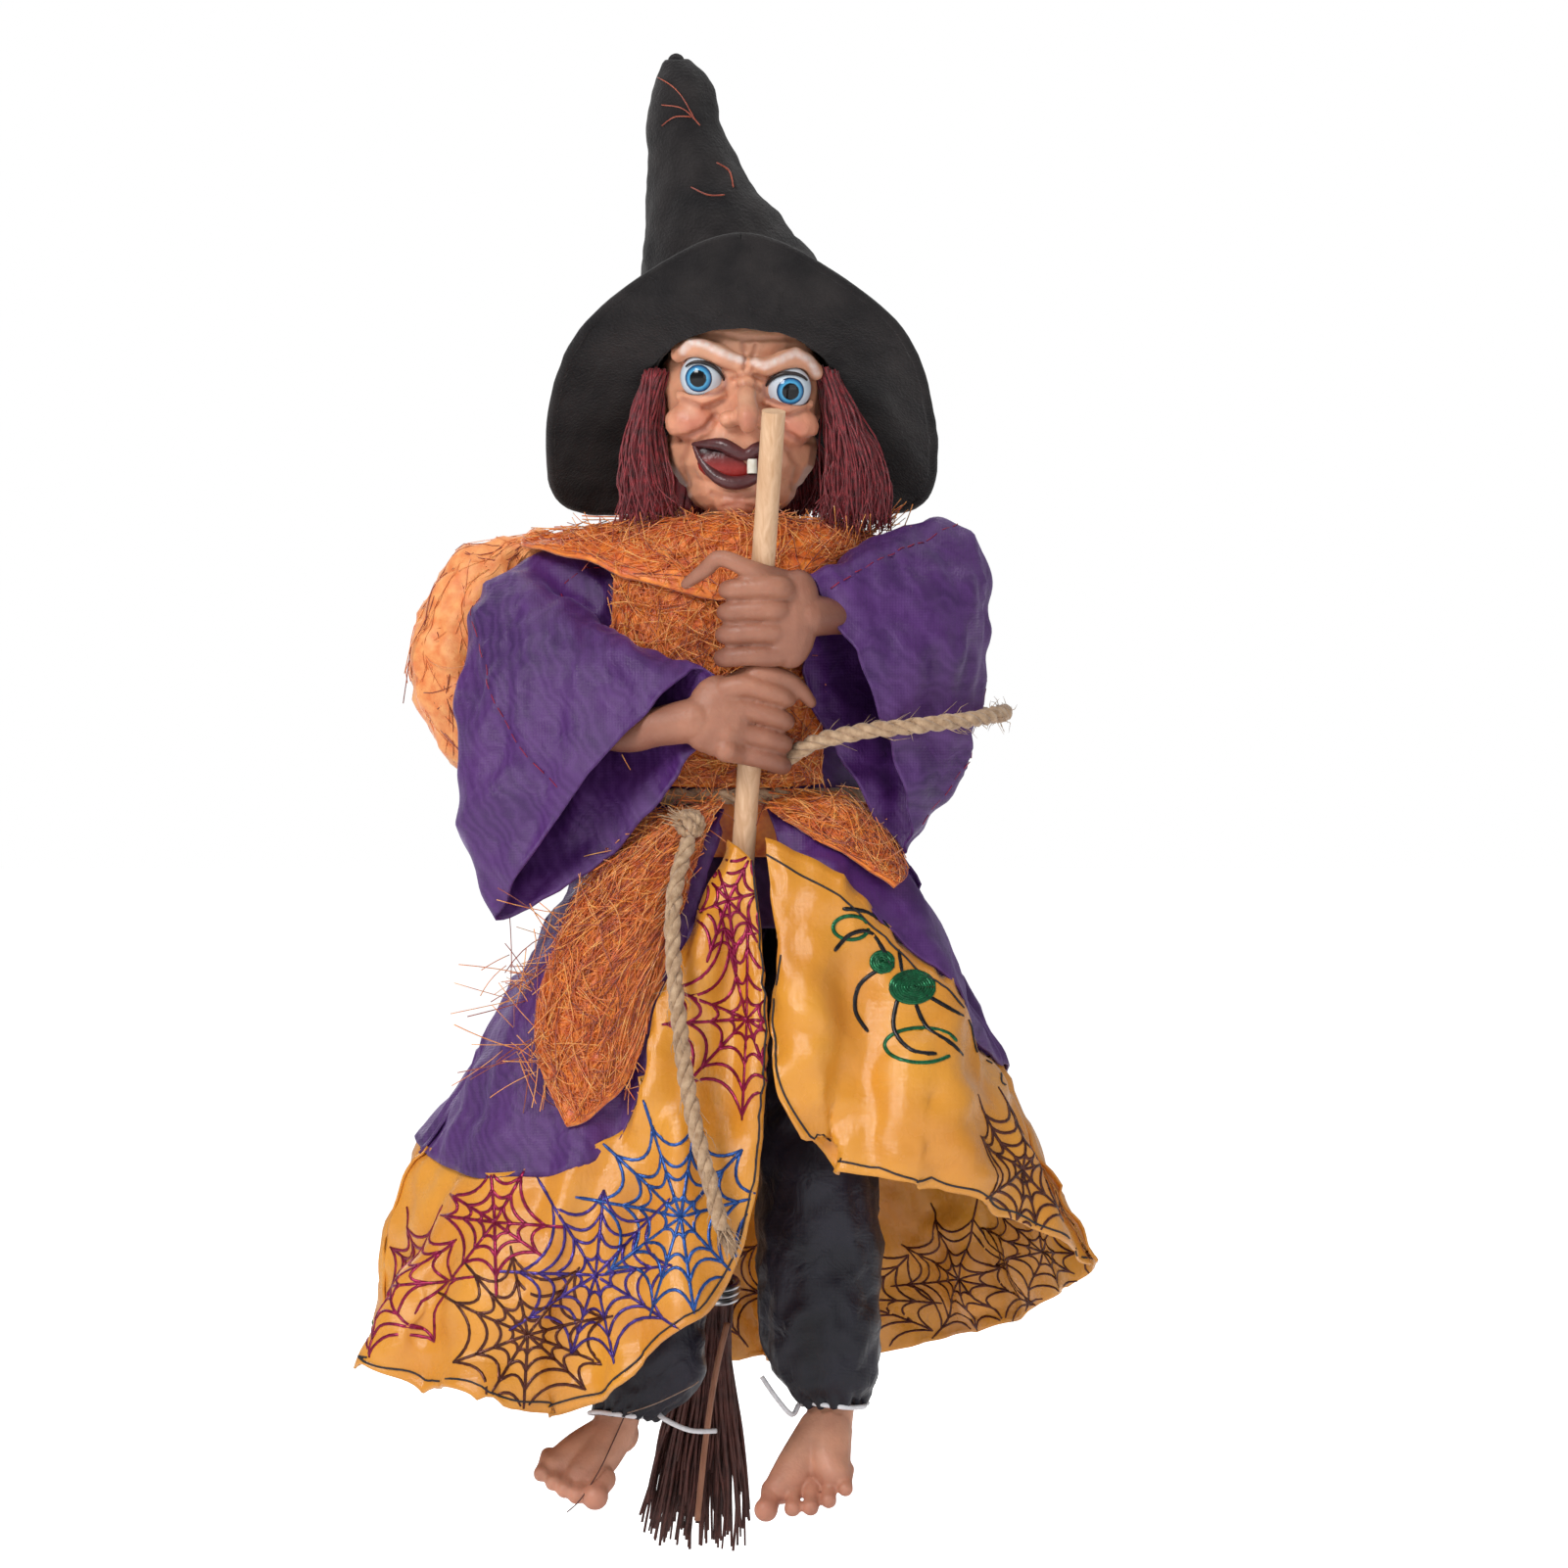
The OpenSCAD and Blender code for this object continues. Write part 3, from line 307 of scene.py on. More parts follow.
class Shader:
    """A Principled material with a few node shortcuts."""

    def __init__(self, name, rough=0.5, **fixed):
        self.mat = bpy.data.materials.new(name)
        self.mat.use_nodes = True
        self.tree = self.mat.node_tree
        self.bsdf = self.tree.nodes["Principled BSDF"]
        self.bsdf.inputs["Roughness"].default_value = rough
        for key, value in fixed.items():
            self.bsdf.inputs[key.replace("_", " ")].default_value = value
        self.where = self.node("ShaderNodeTexCoord").outputs["Object"]

    def node(self, kind, **settings):
        n = self.tree.nodes.new(kind)
        for key, value in settings.items():
            setattr(n, key, value)
        return n

    def put(self, n, key, value):
        if hasattr(value, "is_output"):
            self.tree.links.new(value, n.inputs[key])
        else:
            n.inputs[key].default_value = value

    def texture(self, kind, mapping, change, values, **settings):
        """A texture's height, in object coordinates scaled or rotated by one change of mapping."""
        n = self.node(kind, **settings)
        source = self.where
        if change:
            m = self.node("ShaderNodeMapping")
            self.put(m, "Vector", self.where)
            m.inputs[mapping].default_value = change
            source = m.outputs["Vector"]
        self.put(n, "Vector", source)
        for key, value in values.items():
            n.inputs[key].default_value = value
        return n.outputs["Fac"]

    def noise(self, scale, detail=3.0, stretch=None, distortion=0.0):
        values = {"Scale": scale, "Detail": detail, "Distortion": distortion}
        return self.texture("ShaderNodeTexNoise", "Scale", stretch, values)

    def wave(self, scale, distortion, direction, detail=2.0, detail_scale=1.5, turn=None):
        values = {"Scale": scale, "Distortion": distortion, "Detail": detail, "Detail Scale": detail_scale}
        return self.texture("ShaderNodeTexWave", "Rotation", turn, values, bands_direction=direction)

    def tones(self, source, low, high, edge=0.3):
        """The base colour runs between two tones with a height."""
        self.colour(self.ramp(source, [(edge, low), (1 - edge, high)]))

    def ramp(self, source, stops):
        n = self.node("ShaderNodeValToRGB")
        self.put(n, "Fac", source)
        bar = n.color_ramp.elements
        while len(bar) < len(stops):
            bar.new(0.5)
        for element, (place, colour) in zip(bar, stops):
            element.position = place
            element.color = (*colour, 1)
        return n.outputs["Color"]

    def mix(self, fac, a, b, kind="MIX"):
        n = self.node("ShaderNodeMix", data_type="RGBA", blend_type=kind)
        self.put(n, 0, fac)
        self.put(n, 6, a if hasattr(a, "is_output") else (*a, 1))
        self.put(n, 7, b if hasattr(b, "is_output") else (*b, 1))
        return n.outputs[2]

    def math(self, op, a, b):
        n = self.node("ShaderNodeMath", operation=op)
        self.put(n, 0, a)
        self.put(n, 1, b)
        return n.outputs[0]

    def colour(self, value):
        self.put(self.bsdf, "Base Color", value if hasattr(value, "is_output") else (*value, 1))

    def rough(self, source, low, high):
        n = self.node("ShaderNodeMapRange")
        self.put(n, "Value", source)
        n.inputs["To Min"].default_value = low
        n.inputs["To Max"].default_value = high
        self.put(self.bsdf, "Roughness", n.outputs[0])

    def bump(self, *layers):
        """Each layer is (height, strength, distance in metres)."""
        normal = None
        for height, strength, distance in layers:
            n = self.node("ShaderNodeBump")
            n.inputs["Strength"].default_value = strength
            n.inputs["Distance"].default_value = distance
            self.put(n, "Height", height)
            if normal:
                self.put(n, "Normal", normal)
            normal = n.outputs["Normal"]
        self.put(self.bsdf, "Normal", normal)

    def weave(self, threads):
        """Height of a plain weave with that many threads a metre."""
        across = self.wave(threads, 0.6, "X")
        down = self.wave(threads, 0.6, "Z")
        return self.math("ADD", across, down)


def surface(name, rough, grain, low, high, roughness, bumps, threads=None, edge=0.3, **fixed):
    """A material of two tones. grain is a noise's (scale, detail) and roughness is another's with its
    (low, high). Each bump is (noise, strength, metres); threads is a weave's (count, strength, metres)."""
    s = Shader(name, rough, **fixed)
    s.tones(s.noise(*grain), low, high, edge)
    if roughness:
        s.rough(s.noise(*roughness[0]), *roughness[1])
    layers = [(s.weave(threads[0]), *threads[1:])] if threads else []
    s.bump(*layers, *[(s.noise(*noise), strength, metres) for noise, strength, metres in bumps])
    return s.mat


def felt():
    return surface("felt", 0.95, (90, 4), (0.007, 0.006, 0.007), (0.026, 0.022, 0.022), None,
                   [((1500, 4), 0.7, 0.0006), ((240, 3), 0.4, 0.0008)],
                   Sheen_Weight=0.12, Sheen_Roughness=0.6, Specular_IOR_Level=0.2)


def vinyl(name, rough=0.42):
    """Moulded skin: its base colour is the paint stored on the mesh, broken up by fine pores."""
    s = Shader(name, rough, Subsurface_Weight=0.12, Subsurface_Scale=0.002)
    paint = s.node("ShaderNodeVertexColor", layer_name="paint").outputs["Color"]
    mottle = s.ramp(s.noise(220, 4), [(0.3, (0.84, 0.80, 0.80)), (0.7, (1.0, 1.0, 1.0))])
    s.colour(s.mix(1.0, paint, mottle, "MULTIPLY"))
    s.rough(s.noise(150, 2), rough - 0.08, rough + 0.16)
    s.bump((s.noise(1300, 3), 0.35, 0.0003), (s.noise(330, 3), 0.25, 0.0005))
    return s.mat


def taffeta():
    s = Shader("purple_taffeta", 0.42, Sheen_Weight=0.25, Sheen_Roughness=0.35,
               Sheen_Tint=(0.55, 0.4, 0.9, 1))
    moire = s.wave(120, 9, "X", 3, 1.2, (0.3, 0.5, 0.8))
    cloud = s.noise(60, 4)
    base = s.ramp(cloud, [(0.3, (0.041, 0.007, 0.086)), (0.7, (0.086, 0.017, 0.152))])
    s.colour(s.mix(s.math("MULTIPLY", moire, 0.3), base, (0.140, 0.048, 0.235)))
    s.rough(s.noise(180, 3), 0.32, 0.55)
    s.bump((s.weave(900), 0.25, 0.0002), (s.noise(160, 4, None, 1.0), 0.45, 0.0011))
    return s.mat


def satin():
    return surface("gold_satin", 0.24, (45, 3), (0.66, 0.235, 0.014), (0.80, 0.340, 0.030),
                   ((200, 3), (0.17, 0.36)),
                   [((70, 4, None, 0.8), 0.5, 0.0016)], (1100, 0.18, 0.00015),
                   Sheen_Weight=0.1, Specular_IOR_Level=0.7)


def trouser_satin():
    return surface("black_satin", 0.36, (70, 3), (0.006, 0.006, 0.011), (0.018, 0.016, 0.030),
                   ((120, 3), (0.24, 0.46)), [((130, 4, None, 1.0), 0.6, 0.0014)], (1000, 0.2, 0.00015),
                   Sheen_Weight=0.05, Specular_IOR_Level=0.35)


def fibre(name, low, high, rough=0.38):
    return surface(name, rough, (420, 4), low, high, ((500, 2), (rough - 0.1, rough + 0.2)),
                   [((2200, 3), 0.4, 0.0003)], Sheen_Weight=0.3, Specular_IOR_Level=0.7)


def jute():
    return surface("jute", 0.85, (500, 5), (0.33, 0.19, 0.10), (0.62, 0.43, 0.27), ((700, 2), (0.75, 0.95)),
                   [((2500, 4), 0.7, 0.0004)], Sheen_Weight=0.3)


def hair_fibre():
    return surface("crimson_hair", 0.4, (600, 4), (0.075, 0.005, 0.010), (0.33, 0.020, 0.030),
                   ((500, 2), (0.3, 0.55)),
                   [((2500, 3), 0.3, 0.0003)], Sheen_Weight=0.2)


def wood(name, low, high):
    s = Shader(name, 0.5)
    grain = s.noise(60, 6, (9, 9, 0.7), 1.2)
    s.tones(grain, low, high)
    s.rough(s.noise(200, 3), 0.42, 0.65)
    s.bump((grain, 0.3, 0.0005), (s.noise(900, 3), 0.2, 0.0002))
    return s.mat


def twig():
    return surface("twig", 0.62, (260, 5), (0.040, 0.012, 0.010), (0.15, 0.050, 0.040),
                   ((400, 3), (0.45, 0.75)),
                   [((1200, 4), 0.6, 0.0004)], edge=0.25)


def plain(name, low, high, rough, metal=0.0):
    """A hard part's material: two close tones in a fine grain."""
    grain = 700
    return surface(name, rough, (grain, 4), low, high,
                   ((grain / 3, 3), (max(rough - 0.08, 0.05), rough + 0.1)),
                   [((grain * 2, 3), 0.15, 0.0002)], Metallic=metal)


def foil(name, low, high):
    return surface("foil_" + name, 0.28, (900, 3), low, high, ((600, 2), (0.18, 0.4)),
                   [((1500, 3), 0.3, 0.0002)], Metallic=0.55)


def eye_material(name, centre, gaze, iris):
    """A glossy eye: rings about the gaze direction for the pupil, the iris and the white."""
    s = Shader(name, 0.12, Coat_Weight=0.25, Coat_Roughness=0.03, Specular_IOR_Level=0.3)
    aim = np.asarray(gaze, float) / np.linalg.norm(gaze)
    shift = s.node("ShaderNodeVectorMath", operation="SUBTRACT")
    s.put(shift, 0, s.where)
    s.put(shift, 1, tuple(at(centre)))
    unit = s.node("ShaderNodeVectorMath", operation="NORMALIZE")
    s.put(unit, 0, shift.outputs[0])
    dot = s.node("ShaderNodeVectorMath", operation="DOT_PRODUCT")
    s.put(dot, 0, unit.outputs[0])
    s.put(dot, 1, tuple(aim))
    streak = s.math("MULTIPLY", s.noise(1800, 3), 0.02)
    ring = s.math("ADD", dot.outputs["Value"], streak)
    white, rim, deep, light, black = (0.62, 0.70, 0.78), (0.01, 0.008, 0.01), *iris, (0.002, 0.002, 0.003)
    s.colour(s.ramp(ring, [(0.0, white), (0.795, white), (0.815, rim), (0.84, deep), (0.925, light),
                           (0.945, black)]))
    return s.mat


# ---------- rope, fibres, print ----------

STRANDS = 3


def rope_parts(route, d, turns, seed, fuzz):
    """Paths and radii of a rope's twisted strands along a route in metres, then of its stray hairs."""
    route = np.asarray(route, float)
    n = len(route)
    along = np.gradient(route, axis=0)
    along /= np.linalg.norm(along, axis=1, keepdims=True)
    side = np.cross(along, [0.31, 0.2, 0.93])
    side /= np.linalg.norm(side, axis=1, keepdims=True)
    other = np.cross(along, side)
    rng = np.random.default_rng(seed)
    paths, radii = [], []
    for k in range(STRANDS):
        ang = np.linspace(0, turns * TURN, n) + k * TURN / STRANDS
        ring = np.cos(ang)[:, None] * side + np.sin(ang)[:, None] * other
        paths.append(route + ring * d * 0.25)
        radii.append(np.full(n, d * 0.27) * (1 + 0.1 * np.sin(np.arange(n) * 0.9 + k)))
    for _ in range(fuzz):
        i = rng.integers(1, n - 1)
        out = rng.normal(size=3)
        out /= np.linalg.norm(out)
        length = d * rng.uniform(0.5, 1.3)
        start = route[i] + out * d * 0.4
        bend = rng.normal(size=3) * d * 0.25
        paths.append(np.array([start, start + (out * 0.4 + along[i] * 0.5) * length,
                               start + (out * 0.6 + along[i]) * length + bend]))
        radii.append(np.array([0.1, 0.08, 0.03]) * MM)
    return paths, radii


def tassel(end, toward, spread_mm, length_mm, count, seed):
    """Frayed fibres fanning out from a rope's end."""
    rng = np.random.default_rng(seed)
    paths, radii = [], []
    for _ in range(count):
        off = rng.normal(size=3) * 0.9 * MM
        fan = toward * length_mm * MM * rng.uniform(0.5, 1.0) + rng.normal(size=3) * spread_mm * MM
        paths.append(np.array([end + off * 0.6, end + off + fan * 0.5, end + off + fan]))
        radii.append(np.array([0.3, 0.22, 0.06]) * MM)
    return paths, radii


def wisps(grid, count, seed, length, lift, thin, lean, poke):
    """Strands wandering over a grid, any way or about the heading lean; length, lift and thin are in mm;
    poke is the share that stands off it."""
    rng = np.random.default_rng(seed)
    face = normals(grid)
    high = np.linalg.norm(np.diff(grid, axis=0), axis=2).sum(axis=0).mean()
    wide = np.linalg.norm(np.diff(grid, axis=1), axis=2).sum(axis=1).mean()
    paths, radii = [], []
    joints = 7
    t = np.linspace(0, 1, joints)
    for _ in range(count):
        u0, v0 = rng.uniform(0, 1, 2)
        turn = rng.uniform(0, TURN) if lean is None else rng.normal(lean, 0.5)
        run = length * MM * rng.uniform(0.4, 1.2)
        curl = rng.normal(0, 0.9)
        heading = turn + curl * t
        u = u0 + np.cumsum(np.cos(heading)) / joints * run / high
        v = v0 + np.cumsum(np.sin(heading)) / joints * run / wide
        up = lift * MM * rng.uniform(0.1, 1.0) * np.ones(joints)
        if rng.uniform() < poke:
            up = up + length * 0.22 * MM * t ** 2 * rng.uniform(0.3, 1.0)
        inside = (u > 0.0) & (u < 1.0) & (v > 0.0) & (v < 1.0)
        if inside.sum() < 3:
            continue
        paths.append(sample(grid, u, v, up, face)[inside])
        radii.append(np.full(int(inside.sum()), thin * MM * rng.uniform(0.7, 1.2)))
    return paths, radii


def web(x, z, radius, spokes, rings, seed, tall=1.0):
    """A spider web as strokes on a plane, in mm: spokes and sagging threads between them."""
    rng = np.random.default_rng(seed)
    angles = np.sort(np.arange(spokes) * TURN / spokes + rng.uniform(-0.2, 0.2, spokes)) + rng.uniform(0, 1)
    reach = rng.uniform(0.8, 1.15, spokes) * radius
    t = np.linspace(0, 1, 16)[:, None]
    aim = np.stack([np.cos(angles), np.sin(angles) * tall], axis=1)
    middle = np.array([x, z])
    strokes = [middle + aim[k] * reach[k] * t for k in range(spokes)]
    for ring in range(1, rings + 1):
        far = radius * (ring / (rings + 0.6)) * rng.uniform(0.93, 1.05)
        for k in range(spokes):
            a, b = middle + aim[k] * far, middle + aim[(k + 1) % spokes] * far
            sag = (middle - (a + b) / 2) * 0.22
            s = np.linspace(0, 1, 9)[:, None]
            strokes.append(a * (1 - s) + b * s + sag * 4 * s * (1 - s))
    return strokes


def tree_of(*objs):
    """A search tree over the faces of some pieces."""
    verts, faces, start = [], [], 0
    for obj in objs:
        verts += [tuple(v.co) for v in obj.data.vertices]
        faces += [tuple(k + start for k in p.vertices) for p in obj.data.polygons]
        start += len(obj.data.vertices)
    return BVHTree.FromPolygons(verts, faces)


GRAZING = 0.24  # below this cosine a ray only skims the cloth
JUMP = 5 * MM  # a longer gap than this between two places ends a printed line


# Each of these gives a ray for a point of a drawing: where it starts, in metres, and its direction.

def from_front(p):
    return at([p[0], -140.0, p[1]]), (0, 1, 0)


def from_back(p):
    return at([p[0], 160.0, p[1]]), (0, -1, 0)


def from_around(p):
    """p is (angle in degrees about the torso's axis, height in mm)."""
    a = math.radians(p[0])
    return at([160 * math.cos(a), 160 * math.sin(a), p[1]]), (-math.cos(a), -math.sin(a), 0)


def from_inside(p):
    a = math.radians(p[0])
    return at([34 * math.cos(a), 34 * math.sin(a), p[1]]), (math.cos(a), math.sin(a), 0)


def cast_runs(tree, stroke, cast):
    """The unbroken stretches of a stroke where it lands on the cloth, as (place, normal) pairs."""
    runs, run = [], []
    for p in stroke:
        origin, direction = cast(p)
        place, face, _, _ = tree.ray_cast(tuple(origin), direction)
        if place is None or abs(np.array(face) @ np.array(direction)) < GRAZING:
            runs.append(run)
            run = []
            continue
        n = np.array(face)
        n *= -1 if n.dot(np.array(direction)) > 0 else 1
        if run and np.linalg.norm(np.array(place) - run[-1][0]) > JUMP:
            runs.append(run)
            run = []
        run.append((np.array(place), n))
    return runs + [run]


def stamp(name, tree, strokes, cast, width, material, body, lift):
    """Printed or sewn lines, as thin raised ribbons that follow the cloth under them."""
    verts, faces = [], []
    for stroke in strokes:
        for run in cast_runs(tree, stroke, cast):
            if len(run) < 3:
                continue
            pts = np.array([p for p, _ in run])
            face = np.array([n for _, n in run])
            along = np.gradient(pts, axis=0)
            side = np.cross(face, along)
            side /= np.maximum(np.linalg.norm(side, axis=1, keepdims=True), 1e-12)
            half = side * width * MM / 2
            half[[0, -1]] *= 0.6
            top, base = face * lift * MM, -face * 0.12 * MM
            ring = np.stack([pts + base - half, pts + top - half * 0.8, pts + top + half * 0.8,
                             pts + base + half], axis=1)
            start = len(verts)
            verts += ring.reshape(-1, 3).tolist()
            faces += [f[::-1] for f in strip_faces(len(pts), 4, start, True)]
            last = start + (len(pts) - 1) * 4
            faces += [(start, start + 1, start + 2, start + 3), (last + 3, last + 2, last + 1, last)]
    return piece(name, verts, faces, material, body)


# ---------- cloth ----------

def outward(grid):
    """Grid normals turned away from the torso's axis."""
    face = normals(grid)
    away = grid - np.array([0.0, TORSO_Y, 0.0])
    away[..., 2] = 0
    return face if (face * away).sum() > 0 else -face


def raised(grid, lift):
    """A grid moved outward by lift, in mm."""
    return grid + outward(grid) * lift[..., None] * MM


def drape(net, down, across, crease):
    """A net of control points as skirt cloth, in mm, with fine creases and folds that open out below."""
    waist, hem, folds, depth, seed = -64, -190, 9, 3.6, 3
    grid = at(refine(net, down, across))
    turn = np.arctan2(grid[..., 1] - TORSO_Y, grid[..., 0])
    fall = np.clip((waist * MM - grid[..., 2]) / ((waist - hem) * MM), 0, 1) ** 0.85
    main = np.sin(folds * turn + 1.5 * ripple(grid, seed, 0.10, 2))
    small = np.sin(2.3 * folds * turn + 1.0 + 2.2 * ripple(grid, seed + 1, 0.07, 2))
    ridge = 1 - 2.4 * np.abs(ripple(grid, seed + 2, 0.034, 3)).clip(0, 1)
    return raised(grid, depth * fall * (main + 0.4 * small) + crease * ridge)


def tube_net(rings, flap):
    """Closed rings from (point, opposite point, half depth) triples along a sleeve; flap draws the front of
    its mouth out past its back. All in mm."""
    count = 18
    rings = [(np.asarray(a, float), np.asarray(b, float), d) for a, b, d in rings]
    mid = [(a + b) / 2 for a, b, _ in rings]
    net = []
    for k, (a, b, depth) in enumerate(rings):
        along = mid[min(k + 1, len(mid) - 1)] - mid[max(k - 1, 0)]
        half = (a - b) / 2
        side = np.cross(half, along)
        side *= depth / np.linalg.norm(side)
        ang = np.arange(count) * TURN / count
        ring = mid[k] + np.cos(ang)[:, None] * half + np.sin(ang)[:, None] * side
        front = np.clip(np.sign(side[1]) * np.sin(ang), 0, 1)[:, None]
        reach = {len(rings) - 1: 1.0, len(rings) - 2: 0.4}.get(k, 0.0)
        net.append(ring + front * reach * np.asarray(flap, float))
    return np.array(net)


def level_net(rows, count=20):
    """Closed level rings from (x, y, z, half width, half depth) rows."""
    ang = np.arange(count) * TURN / count
    return np.array([[(x + rx * math.cos(a), y + ry * math.sin(a), z) for a in ang]
                     for x, y, z, rx, ry in rows])


def crumple(grid, seed, size, depth, crease, gathers=0, cinch=None):
    """Extra folds on a closed tube of cloth, in mm: soft ripples, sharp creases and a number of gathers
    along it, as deep as cinch says."""
    face = normals(grid, True)
    soft = ripple(grid, seed, size * MM, 3)
    sharp = 1 - 2.4 * np.abs(ripple(grid, seed + 5, size * 0.8 * MM, 3)).clip(0, 1)
    lift = depth * soft + crease * sharp
    if gathers:
        v = np.arange(grid.shape[1]) / grid.shape[1] * TURN
        u = np.linspace(0, 1, grid.shape[0])[:, None]
        lift = lift + np.sin(gathers * v[None] + 2.0 * soft) * cinch(u)
    return grid + face * lift[..., None] * MM


# ---------- camera, light and floor ----------

def look_at(obj, target):
    aim = Vector(target) - obj.location
    obj.rotation_euler = aim.to_track_quat("-Z", "Y").to_euler()


def camera_strength(tree, socket, others, camera):
    """Gives a strength one value for the camera and another for every other ray."""
    path = tree.nodes.new("ShaderNodeLightPath")
    strength = tree.nodes.new("ShaderNodeMapRange")
    strength.inputs["To Min"].default_value = others
    strength.inputs["To Max"].default_value = camera
    tree.links.new(path.outputs["Is Camera Ray"], strength.inputs["Value"])
    tree.links.new(strength.outputs[0], socket)


def set_up_camera():
    cam = bpy.data.objects.new("camera", bpy.data.cameras.new("camera"))
    cam.data.lens = 200
    cam.data.sensor_width = 36
    cam.data.clip_end = 20
    cam.location = (0.0102, TORSO_Y - 2.093, -0.0566)
    cam.rotation_euler = (math.pi / 2, 0, 0)
    bpy.context.scene.collection.objects.link(cam)
    bpy.context.scene.camera = cam


def set_up_lights():
    for name, place, size, power in (("key", (-0.9, -1.3, 0.9), 0.6, 19),
                                     ("fill", (0.7, -1.7, -0.1), 1.2, 5),
                                     ("top", (0.1, 0.3, 1.5), 1.0, 7), ("back", (-0.4, 1.3, 0.7), 1.0, 6)):
        light = bpy.data.objects.new(name, bpy.data.lights.new(name, "AREA"))
        light.data.size = size
        light.data.energy = power
        light.location = place
        bpy.context.scene.collection.objects.link(light)
        look_at(light, (0, TORSO_Y, -0.06))


def set_up_backdrop():
    """A white world and floor that look bright to the camera but light the figure less."""
    world = bpy.data.worlds.new("soft")
    world.use_nodes = True
    sky = world.node_tree.nodes["Background"]
    sky.inputs[0].default_value = (1, 1, 1, 1)
    camera_strength(world.node_tree, sky.inputs[1], 0.32, 1.0)
    bpy.context.scene.world = world
    bpy.context.scene.view_settings.view_transform = "Standard"
    s = Shader("floor", 0.8, Emission_Color=(1, 1, 1, 1))
    s.colour(s.ramp(s.noise(3, 2), [(0.0, (0.86, 0.86, 0.86)), (1.0, (0.90, 0.90, 0.90))]))
    camera_strength(s.mat.node_tree, s.mat.node_tree.nodes["Principled BSDF"].inputs["Emission Strength"],
                    0.25, 0.78)
    side, low = 20, at([0, 0, -252])[2]
    corners = [(-side, -side, low), (side, -side, low), (side, side, low), (-side, side, low)]
    mesh = bpy.data.meshes.new("floor")
    mesh.from_pydata(corners, [], [(0, 1, 2, 3)])
    floor = bpy.data.objects.new("floor", mesh)
    mesh.materials.append(s.mat)
    bpy.context.scene.collection.objects.link(floor)


set_up_camera()
set_up_lights()
set_up_backdrop()

# ---------- the ropes ----------

JUTE = jute()
ROPE = 4.0 * MM
LAY = 0.013  # metres of rope in which its strands go round once

TAIL = at([[-12.3, -33.4, -69.8], [-13.6, -36, -74], [-15.4, -39.4, -81], [-16, -43, -89],
           [-15.8, -46.2, -98],
           [-15, -48.8, -107], [-14, -50.6, -116], [-12.8, -52.4, -125], [-11.2, -53.8, -134],
           [-9, -54.8, -143],
           [-6.6, -55.4, -152], [-4.2, -55.8, -161]])
WRAP = at([[9, -29.5, -52], [17, -35, -47], [27, -39, -44.5], [40, -40, -43], [53.5, -33, -41.5],
           [61.5, -18, -40],
           [62.5, -2, -39.5], [56, 13, -40.5], [43, 23.5, -43], [26, 28.5, -47], [8, 30, -51]])


def make_ropes():
    tail = resample(smooth(TAIL, 8), 90)
    long = float(lengths(tail).sum())
    paths, radii = rope_parts(tail, ROPE, long / LAY, 5, 90)
    fray, thin = tassel(tail[-1], np.array([0.35, -0.05, -0.93]), 1.3, 6, 40, 6)
    rope = tubes("rope_tail_strands", paths[:STRANDS], radii[:STRANDS], JUTE, "torso",
                 ("rope_tail",), 7)
    loose = tubes("rope_tail_fray", paths[STRANDS:] + fray, radii[STRANDS:] + thin, JUTE, "torso",
                  (), 4)
    wrap = resample(smooth(WRAP, 8), 150)
    paths, radii = rope_parts(wrap, ROPE, lengths(wrap).sum() / LAY, 9, 150)
    tubes("rope_wrap_strands", paths, radii, JUTE, "torso", ("rope_wrap",), 7)
    ang = np.linspace(0, TURN, 160)
    belt = at(np.stack([33.6 * np.cos(ang), 0.8 + 24.7 * np.sin(ang), np.full(160, -59.5)], axis=1))
    paths, radii = rope_parts(belt, ROPE, 14, 12, 130)
    knot, thin = knot_parts([-12, -32, -66])
    tubes("waist_rope_strands", paths + knot, radii + thin, JUTE, "torso", ("waist_rope",), 7)


def knot_parts(centre):
    """A granny knot: rope bights rolled over one another round a centre given in mm."""
    paths, radii = [], []
    for k, (tilt, lean, size) in enumerate(((0.3, 0.2, 2.5), (1.5, 0.9, 2.6), (2.5, 0.4, 2.2))):
        ang = np.linspace(0, TURN, 40)
        ring = np.stack([np.cos(ang) * size, np.sin(ang) * math.sin(tilt) * size,
                         np.sin(ang) * math.cos(tilt) * size], axis=1)
        turn = np.array([[math.cos(lean), 0, math.sin(lean)], [0, 1, 0],
                         [-math.sin(lean), 0, math.cos(lean)]])
        strands, thin = rope_parts(at(ring @ turn.T + centre), 2.6 * MM, 4, 20 + k, 16)
        paths += strands
        radii += thin
    end = at(centre)
    fray, thin = tassel(end, np.array([-0.7, -0.4, 0.35]), 1.6, 8, 24, 31)
    return paths + fray, radii + thin


make_ropes()

# ---------- skirts and hems ----------

